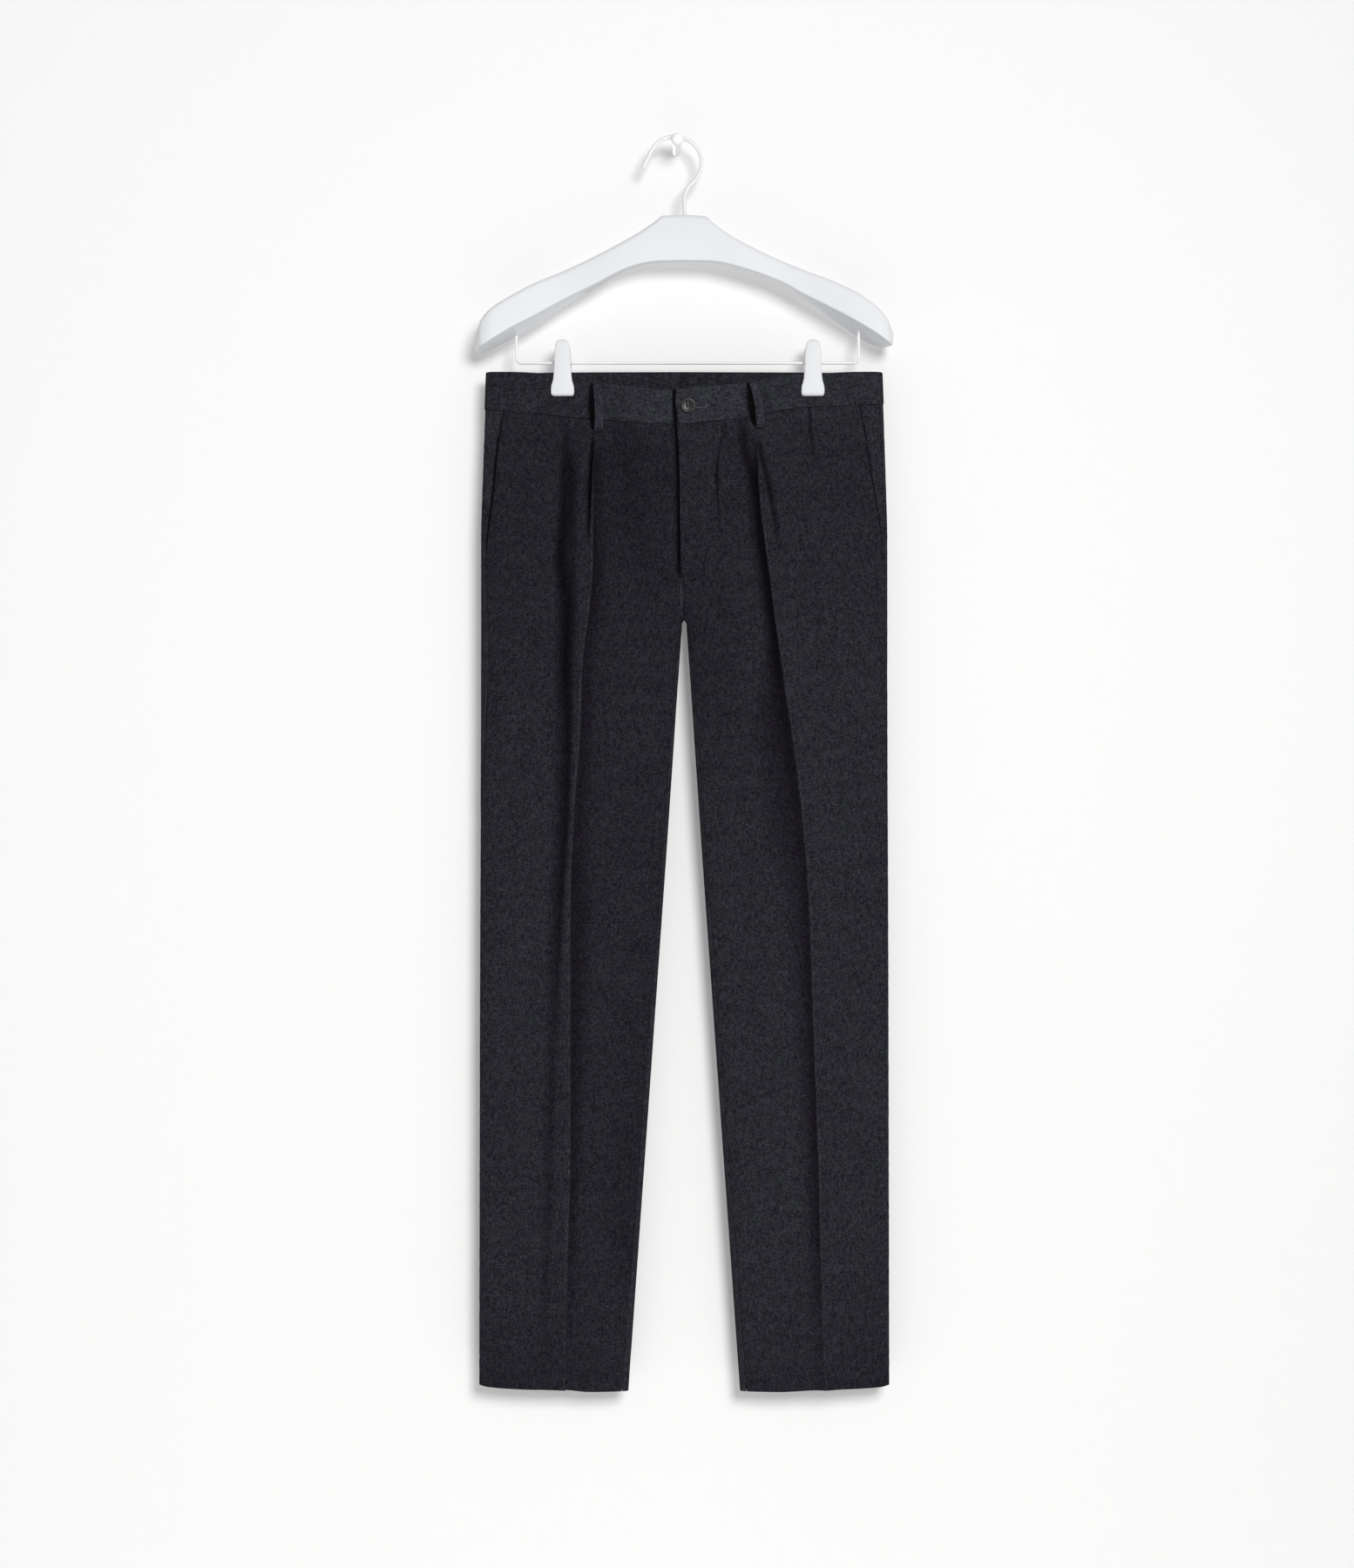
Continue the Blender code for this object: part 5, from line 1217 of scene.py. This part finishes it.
button_low, button_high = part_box("waist_button")
button_seat, button_way = on_cloth(tab, (button_low.x + button_high.x) / 2,
                                   (button_low.z + button_high.z) / 2)
button_way = Vector((button_way.x, button_way.y, button_way.z)).normalized()
BUTTON_PROFILE = [(0.0003, 0.0), (0.0052, 0.0), (0.0062, 0.0001), (0.0072, 0.0007), (0.0076, 0.00125),
                  (BUTTON_RADIUS, 0.00165), (0.0075, 0.00205), (0.007, 0.00235), (0.0064, 0.0024),
                  (0.0058, 0.00225), (0.0052, 0.00185), (0.0046, 0.0016), (0.003, 0.0015),
                  (0.0003, 0.00148)]
button_rings = circle_rings(BUTTON_PROFILE, button_seat + button_way * 0.0004, button_way, 56)
button = draw_out("horn_button", button_rings)
face_right = Vector((1.0, 0.0, 0.0))
face_up = button_way.cross(face_right).normalized()
face_right = face_up.cross(button_way).normalized()
holes = []
for x in HOLE_PLACES:
    for y in HOLE_PLACES:
        deselect_all()
        middle = button_seat + face_right * x + face_up * y + button_way * 0.0015
        bpy.ops.mesh.primitive_cylinder_add(vertices=14, radius=HOLE_RADIUS, depth=HOLE_LENGTH,
                                            location=middle,
                                            rotation=button_way.to_track_quat("Z", "Y").to_euler())
        holes.append(bpy.context.object)
bpy.context.view_layer.objects.active = button
for hole in holes:
    apply_modifier(button, "BOOLEAN", operation="DIFFERENCE", solver="EXACT", object=hole)
    bpy.data.objects.remove(hole, do_unlink=True)
horn, tree, shader = new_material("dark_horn")
place = put(tree, "ShaderNodeTexCoord", output="Object")
grain = put(tree, "ShaderNodeMapping",
            {"Vector": place, "Rotation": (0.0, 0.5, 0.0), "Scale": (90.0, 90.0, 420.0)})
streak = put(tree, "ShaderNodeTexNoise", {"Vector": grain, "Scale": 1.0, "Detail": 3.0, "Distortion": 0.6})
shade = tree.nodes.new("ShaderNodeValToRGB")
shade.color_ramp.elements[0].position, shade.color_ramp.elements[1].position = 0.36, 0.66
shade.color_ramp.elements[0].color = (0.006, 0.0055, 0.005, 1.0)
shade.color_ramp.elements[1].color = (0.028, 0.026, 0.021, 1.0)
tree.links.new(streak, shade.inputs["Fac"])
tree.links.new(shade.outputs["Color"], shader.inputs["Base Color"])
polish = put(tree, "ShaderNodeMapRange", (streak, 0.3, 0.7, 0.26, 0.36))
tree.links.new(polish, shader.inputs["Roughness"])
set_inputs(shader, {"Specular IOR Level": 0.30})
button.data.materials.append(horn)
settle(button, "waist_button")
made = []
for x in HOLE_PLACES:
    for strand in STRAND_PLACES:
        middle = button_seat + face_right * (x + strand) + button_way * 0.00205
        made.append(stitch("strand", middle, face_up, button_way, 0.0038, BAR_THREAD))
sew("thread_button", made)

# ---------------------------------------------------------------- the hanger's body
# One broad moulded pair of arms with a flat front, a crisp lower front edge, a rounded top and an underside
# that falls away to the rear at the ends; white, with an even satin finish. The right arm sags a little.
ARM = {               # under and belly: how far back the underside's middle line lies, and how far down
    1: table(
        "out top low rear deep under belly",
        (0.0, -0.078, -0.128, -0.0027, 0.02, 0.01, -0.0013),
        (0.0225, -0.0797, -0.1284, -0.0027, 0.02, 0.01, -0.0013),
        (0.0325, -0.0882, -0.1291, -0.0028, 0.021, 0.0105, -0.0014),
        (0.054, -0.103, -0.1338, -0.003, 0.022, 0.011, -0.0015),
        (0.0986, -0.1249, -0.1486, -0.002, 0.02, 0.01, -0.001),
        (0.128, -0.1374, -0.1645, -0.0005, 0.022, 0.011, -0.0002),
        (0.157, -0.1495, -0.18, 0.0035, 0.03, 0.015, 0.0018),
        (0.187, -0.1652, -0.1974, 0.006, 0.038, 0.019, 0.003),
        (0.204, -0.1783, -0.2082, 0.004, 0.04, 0.02, 0.002),
        (0.215, -0.1898, -0.215, 0.0, 0.034, 0.017, 0.0),
        (0.221, -0.2012, -0.2175, -0.002, 0.022, 0.011, -0.001)),
    -1: table(
        "out top low rear deep under belly",
        (0.0, -0.078, -0.128, -0.0027, 0.02, 0.01, -0.0013),
        (0.0225, -0.079, -0.1284, -0.0027, 0.02, 0.01, -0.0013),
        (0.0325, -0.0864, -0.1291, -0.0028, 0.021, 0.0105, -0.0014),
        (0.054, -0.1005, -0.1338, -0.003, 0.022, 0.01, -0.0008),
        (0.0986, -0.124, -0.1548, 0.0, 0.02, 0.009, 0.003),
        (0.128, -0.1382, -0.1696, 0.0015, 0.022, 0.012, 0.005),
        (0.157, -0.1513, -0.1866, 0.003, 0.03, 0.0165, 0.0075),
        (0.187, -0.1683, -0.2033, 0.0025, 0.038, 0.018, 0.008),
        (0.204, -0.1794, -0.2138, 0.001, 0.04, 0.017, 0.007),
        (0.215, -0.1905, -0.2197, 0.0, 0.034, 0.015, 0.005),
        (0.221, -0.2035, -0.2215, -0.002, 0.022, 0.01, 0.0015)),
}
ARM_COLUMNS = ("top", "low", "rear", "deep", "under", "belly")
CORNER_STEPS = 6
ARM_END = (0.2140, 0.2210)            # from where to where the lower corner grows rounder
TOP_ROUNDING, LOW_ROUNDING, END_GROWTH = 0.0065, 0.0016, 0.004
END_ROUNDING = ((0.93, 0.0006), (0.74, 0.0012), (0.40, 0.0016))  # share of the section, and how far on


def arm_ring(out, side):
    """One section of an arm."""
    top, low, rear, deep, under, belly = (float(read(ARM[side], column, out)) for column in ARM_COLUMNS)
    half = deep / 2
    at_end = float(ramp(out, *ARM_END))
    round_top = min(TOP_ROUNDING, (top - low) * 0.40)
    round_low = min(LOW_ROUNDING + END_GROWTH * at_end, (top - low) * 0.35)
    corners = ((-half, low, round_low, 180), (half, low - rear, round_low, 270),
               (half, top - max(rear, 0.0) * 0.5, round_top, 0), (-half, top, round_top, 90))
    ring = []
    middle = HANGING_PLACE + (side * out, 0.0, 0.0)
    for y, z, radius, start in corners:
        centre_y = y + radius if y < 0 else y - radius
        centre_z = z - radius if start in (0, 90) else z + radius
        for step in range(CORNER_STEPS + 1):
            a = math.radians(start + 90.0 * step / CORNER_STEPS)
            ring.append(Vector((middle[0], middle[1] + centre_y + radius * math.cos(a),
                                centre_z + radius * math.sin(a))))
        if start == 180:
            ring.append(Vector((middle[0], middle[1] - half + under, low - belly)))
    return ring


def shrunk(ring, share, shift):
    """A ring drawn in towards its middle and moved along, for a rounded end."""
    middle = sum(ring, Vector()) / len(ring)
    return [middle + (point - middle) * share + Vector((shift, 0.0, 0.0)) for point in ring]


arm_outs = np.concatenate((np.linspace(0.0, 0.0215, 6), np.linspace(0.0230, 0.0345, 9),
                           np.linspace(0.040, 0.200, 34), np.linspace(0.203, 0.221, 12)))
rings = []
for side in (-1, 1):
    own = [arm_ring(out, side) for out in arm_outs[1 if side < 0 else 0:]]
    own += [shrunk(own[-1], share, side * shift) for share, shift in END_ROUNDING]
    rings += own[::-1] if side < 0 else own
body = draw_out("white_hanger_body", rings)


def even_coat():
    """A white moulded or dipped surface: a very faint drift of tone and gloss, and a fine orange peel."""
    group, given, results = new_group(
        "even_coat",
        {"Place": VECTOR, "Paint": COLOUR, "Grain": FLOAT, "Gloss": FLOAT},
        {"Colour": COLOUR, "Roughness": FLOAT, "Height": FLOAT})
    drift = put(group, "ShaderNodeTexNoise", {"Vector": given["Place"], "Scale": 14.0, "Detail": 3.0})
    tone = put(group, "ShaderNodeMapRange", (drift, 0.25, 0.75, 0.975, 1.02))
    colour = put(group, "ShaderNodeVectorMath", {0: given["Paint"], "Scale": tone}, operation="SCALE")
    gloss = put(group, "ShaderNodeMath", (drift, 0.16, given["Gloss"]), operation="MULTIPLY_ADD")
    peel = put(group, "ShaderNodeTexNoise",
               {"Vector": given["Place"], "Scale": given["Grain"], "Detail": 2.0})
    for name, source in (("Colour", colour), ("Roughness", gloss), ("Height", peel)):
        group.links.new(source, results[name])
    return group


EVEN_COAT = even_coat()


def white_finish(name, paint, gloss, grain, peel, specular=0.4):
    """White paint or plastic: gloss is its roughness, grain the peel's fineness and peel its strength."""
    made, tree, shader = new_material(name)
    coat = tree.nodes.new("ShaderNodeGroup")
    coat.node_tree = EVEN_COAT
    set_inputs(coat, {"Paint": paint, "Grain": grain, "Gloss": gloss})
    tree.links.new(put(tree, "ShaderNodeTexCoord", output="Object"), coat.inputs["Place"])
    tree.links.new(coat.outputs["Colour"], shader.inputs["Base Color"])
    tree.links.new(coat.outputs["Roughness"], shader.inputs["Roughness"])
    bump = put(tree, "ShaderNodeBump",
               {"Strength": peel, "Distance": 0.0002, "Height": coat.outputs["Height"]})
    tree.links.new(bump, shader.inputs["Normal"])
    set_inputs(shader, {"Specular IOR Level": specular})
    return made


satin_white = white_finish("satin_white", (0.634, 0.643, 0.664, 1.0), 0.55, 420.0, 0.10, specular=0.18)
body.data.materials.append(satin_white)
settle(body, "hanger_body")

# ---------------------------------------------------------------- the hook and the trouser bar
# Two bent steel wires with a white dipped coat. The hook's shank goes down into the top of the body and its
# bend hangs over the peg; the bar is bent up at both ends into holes under the arms.
HOOK_RADIUS = 0.00215
WIRE_RADIUS = 0.0015
PEG_RADIUS = 0.0042
wire_white = white_finish("dipped_white", (0.69, 0.69, 0.70, 1.0), 0.38, 700.0, 0.06, specular=0.3)


def arc(centre, radius, start, end, steps):
    """Points of an arc in the hanger's plane, angles in degrees."""
    turned = np.radians(np.linspace(start, end, steps))
    return [Vector((centre[0] + radius * math.cos(a), 0.0, centre[1] + radius * math.sin(a))) for a in turned]


def bent_wire(name, points, radius, round_tip):
    """A wire along a line of points in the hanger's plane, with a rounded tip at its start if asked."""
    deselect_all()
    bpy.ops.curve.primitive_nurbs_path_add()
    made = bpy.context.object
    made.name = name
    curve = made.data
    curve.splines.clear()
    spline = curve.splines.new("POLY")
    sizes = [1.0] * len(points)
    if round_tip:
        first, way = points[0], (points[0] - points[1]).normalized()
        caps = [(math.sin(a), math.cos(a)) for a in np.radians((88.0, 72.0, 52.0, 30.0, 0.0))]
        points = [first + way * radius * 1.15 * along for along, size in caps] + points[1:]
        sizes = [max(size, 0.03) * 1.15 for along, size in caps] + [1.1] + sizes[2:]
    spline.points.add(len(points) - 1)
    for place, point, size in zip(spline.points, points, sizes):
        place.co = (*(point + Vector(HANGING_PLACE)), 1.0)
        place.radius = size
    curve.dimensions = "3D"
    curve.bevel_depth = radius
    curve.bevel_resolution = 6
    curve.use_fill_caps = True
    bpy.ops.object.convert(target="MESH")
    made = bpy.context.object
    made.data.name = name
    bpy.ops.object.transform_apply(location=True, rotation=True, scale=True)
    bpy.ops.object.shade_smooth_by_angle(angle=math.radians(50.0))
    made.data.materials.clear()
    made.data.materials.append(wire_white)
    return made


HOOK_BEND = 0.02835
HOOK_CENTRE = (-HANGING_PLACE[0] - 0.0023, PEG_RADIUS + SEAM_GAP + HOOK_RADIUS - HOOK_BEND)
BACK_BEND = 0.0223
HOOK_START, HOOK_TURN = 155.0, 50.0   # where the bend starts, and how far it goes on below its middle
TIP_LENGTH = 0.0180
bend = arc(HOOK_CENTRE, HOOK_BEND, HOOK_START, -HOOK_TURN, 84)
leaving = math.radians(-HOOK_TURN)
middle = (HOOK_CENTRE[0] + (HOOK_BEND + BACK_BEND) * math.cos(leaving),
          HOOK_CENTRE[1] + (HOOK_BEND + BACK_BEND) * math.sin(leaving))
back_bend = arc(middle, BACK_BEND, 180.0 - HOOK_TURN, 180.0, 24)[1:]
tip_way = math.radians(HOOK_START + 90.0)
tip = bend[0] + TIP_LENGTH * Vector((math.cos(tip_way), 0.0, math.sin(tip_way)))
foot = Vector((back_bend[-1].x, 0.0, ARM[1]["top"][0] - 0.010))
hook_line = [tip, tip.lerp(bend[0], 0.25)] + bend + back_bend + [foot]
hook = bent_wire("white_hanger_hook", hook_line, HOOK_RADIUS, True)
settle(hook, "hanger_hook")

BAR_Z = -0.2353
BAR_BEND = 0.006
right_end = Vector((-0.1792, 0.0, -0.1940))
left_end = Vector((0.1863, 0.0, -0.1910))
low = BAR_Z + BAR_BEND
points = [right_end] + arc((right_end.x + BAR_BEND, low), BAR_BEND, 180.0, 270.0, 16) \
    + arc((left_end.x - BAR_BEND, low), BAR_BEND, 270.0, 360.0, 16) + [left_end]
bar = bent_wire("white_trouser_bar", points, WIRE_RADIUS, False)
settle(bar, "hanger_bar")

# ---------------------------------------------------------------- the clips
# Two clips of smooth white plastic. Each has a front and a rear jaw with a rounded top and a foot that
# flares where it grips the waistband, on a short sleeve that slides along the bar.
JAW = table(
    "z half inner thick",
    (-0.2711, 0.0098, 0.00255, 0.002), (-0.2704, 0.0112, 0.00255, 0.0032),
    (-0.269, 0.0121, 0.00255, 0.0042), (-0.2665, 0.0124, 0.00255, 0.0047),
    (-0.2632, 0.0123, 0.0027, 0.0048), (-0.26, 0.0118, 0.0029, 0.0048), (-0.2565, 0.0107, 0.0031, 0.0047),
    (-0.2525, 0.0099, 0.00335, 0.0046), (-0.243, 0.0091, 0.0042, 0.0043), (-0.2335, 0.0088, 0.0051, 0.004),
    (-0.224, 0.0083, 0.0059, 0.0037), (-0.218, 0.0075, 0.0063, 0.0034), (-0.2142, 0.006, 0.0065, 0.0029),
    (-0.2124, 0.0042, 0.0066, 0.0023), (-0.2118, 0.002, 0.0067, 0.0016))
JAW_EDGE, JAW_GRIP_EDGE = 0.0016, 0.0005
SLEEVE_RADIUS, SLEEVE_LENGTH = 0.0046, 0.014
clip_plastic = white_finish("clip_plastic", (0.598, 0.606, 0.622, 1.0), 0.45, 500.0, 0.05, specular=0.22)
jaw_heights = np.concatenate((np.linspace(-0.2711, -0.2665, 9), np.linspace(-0.2655, -0.2500, 14),
                              np.linspace(-0.2480, -0.2190, 14), np.linspace(-0.2180, -0.2118, 12)))
for side, label in SIDES:
    clip_x = HANGING_PLACE[0] + side * CLIP_OUT[side]
    for face, end in ((1, "front"), (-1, "back")):
        rings = []
        for z in jaw_heights:
            half, inner, thick = (float(read(JAW, column, z)) for column in ("half", "inner", "thick"))
            edge = min(JAW_EDGE, half * 0.5, thick * 0.6)
            ring = []
            near, far = HANGING_PLACE[1] - face * inner, HANGING_PLACE[1] - face * (inner + thick)
            for x, y, way_x, way_y, size in ((1, near, 1, 1, JAW_GRIP_EDGE), (1, far, 1, -1, edge),
                                             (-1, far, -1, -1, edge), (-1, near, -1, 1, JAW_GRIP_EDGE)):
                size = min(size, thick * 0.4, half * 0.6)
                for step in range(5):
                    a = math.pi / 2 * step / 4
                    if way_x * way_y > 0:
                        turn_x, turn_y = math.sin(a), math.cos(a)
                    else:
                        turn_x, turn_y = math.cos(a), math.sin(a)
                    ring.append(Vector((clip_x + x * (half - size) + way_x * size * turn_x,
                                        y + face * way_y * size * (turn_y - 1.0), z)))
            rings.append(ring)
        jaw = draw_out(f"white_clip_{label}_{end}_jaw", rings)
        jaw.data.materials.append(clip_plastic)
        settle(jaw, f"clip_{label}_{end}_jaw")
    deselect_all()
    bpy.ops.mesh.primitive_cylinder_add(vertices=40, radius=SLEEVE_RADIUS, depth=SLEEVE_LENGTH,
                                        end_fill_type="NOTHING", location=(clip_x, HANGING_PLACE[1], BAR_Z),
                                        rotation=(0, math.pi / 2, 0))
    sleeve = bpy.context.object
    sleeve.name = sleeve.data.name = f"white_clip_{label}_sleeve"
    bpy.ops.object.transform_apply(location=True, rotation=True, scale=True)
    apply_modifier(sleeve, "SOLIDIFY", thickness=SLEEVE_RADIUS - WIRE_RADIUS - SEAM_GAP, offset=-1.0)
    apply_modifier(sleeve, "BEVEL", width=0.0004, segments=2, angle_limit=math.radians(50))
    bpy.ops.object.shade_smooth_by_angle(angle=math.radians(40))
    sleeve.data.materials.append(clip_plastic)
    settle(sleeve, f"clip_{label}_sleeve")

# ---------------------------------------------------------------- the wall peg
# A plain turned peg, painted with the wall's own slightly rough white: a shaft that comes straight out of the
# wall and a ball at its end that keeps the hook on.
PEG_BALL = 0.0070
neck = -HANGING_PLACE[1] + HOOK_RADIUS + 0.003
ball = neck + math.sqrt(PEG_BALL ** 2 - PEG_RADIUS ** 2)
first = math.asin(PEG_RADIUS / PEG_BALL)
profile = [(PEG_RADIUS, 0.0), (PEG_RADIUS, neck * 0.5), (PEG_RADIUS, neck - 0.0008),
           (PEG_RADIUS + 0.0002, neck)]
profile += [(PEG_BALL * math.sin(a), ball - PEG_BALL * math.cos(a))
            for a in np.linspace(first, math.pi, 26)[1:-1]]
profile += [(0.0003, ball + PEG_BALL)]
peg = draw_out("white_wall_peg", circle_rings(profile, (0.0, 0.0, 0.0), (0.0, -1.0, 0.0), 48))
peg.data.materials.append(white_finish("peg_paint", (0.80, 0.80, 0.79, 1.0), 0.35, 320.0, 1.0))
settle(peg, "wall_peg")
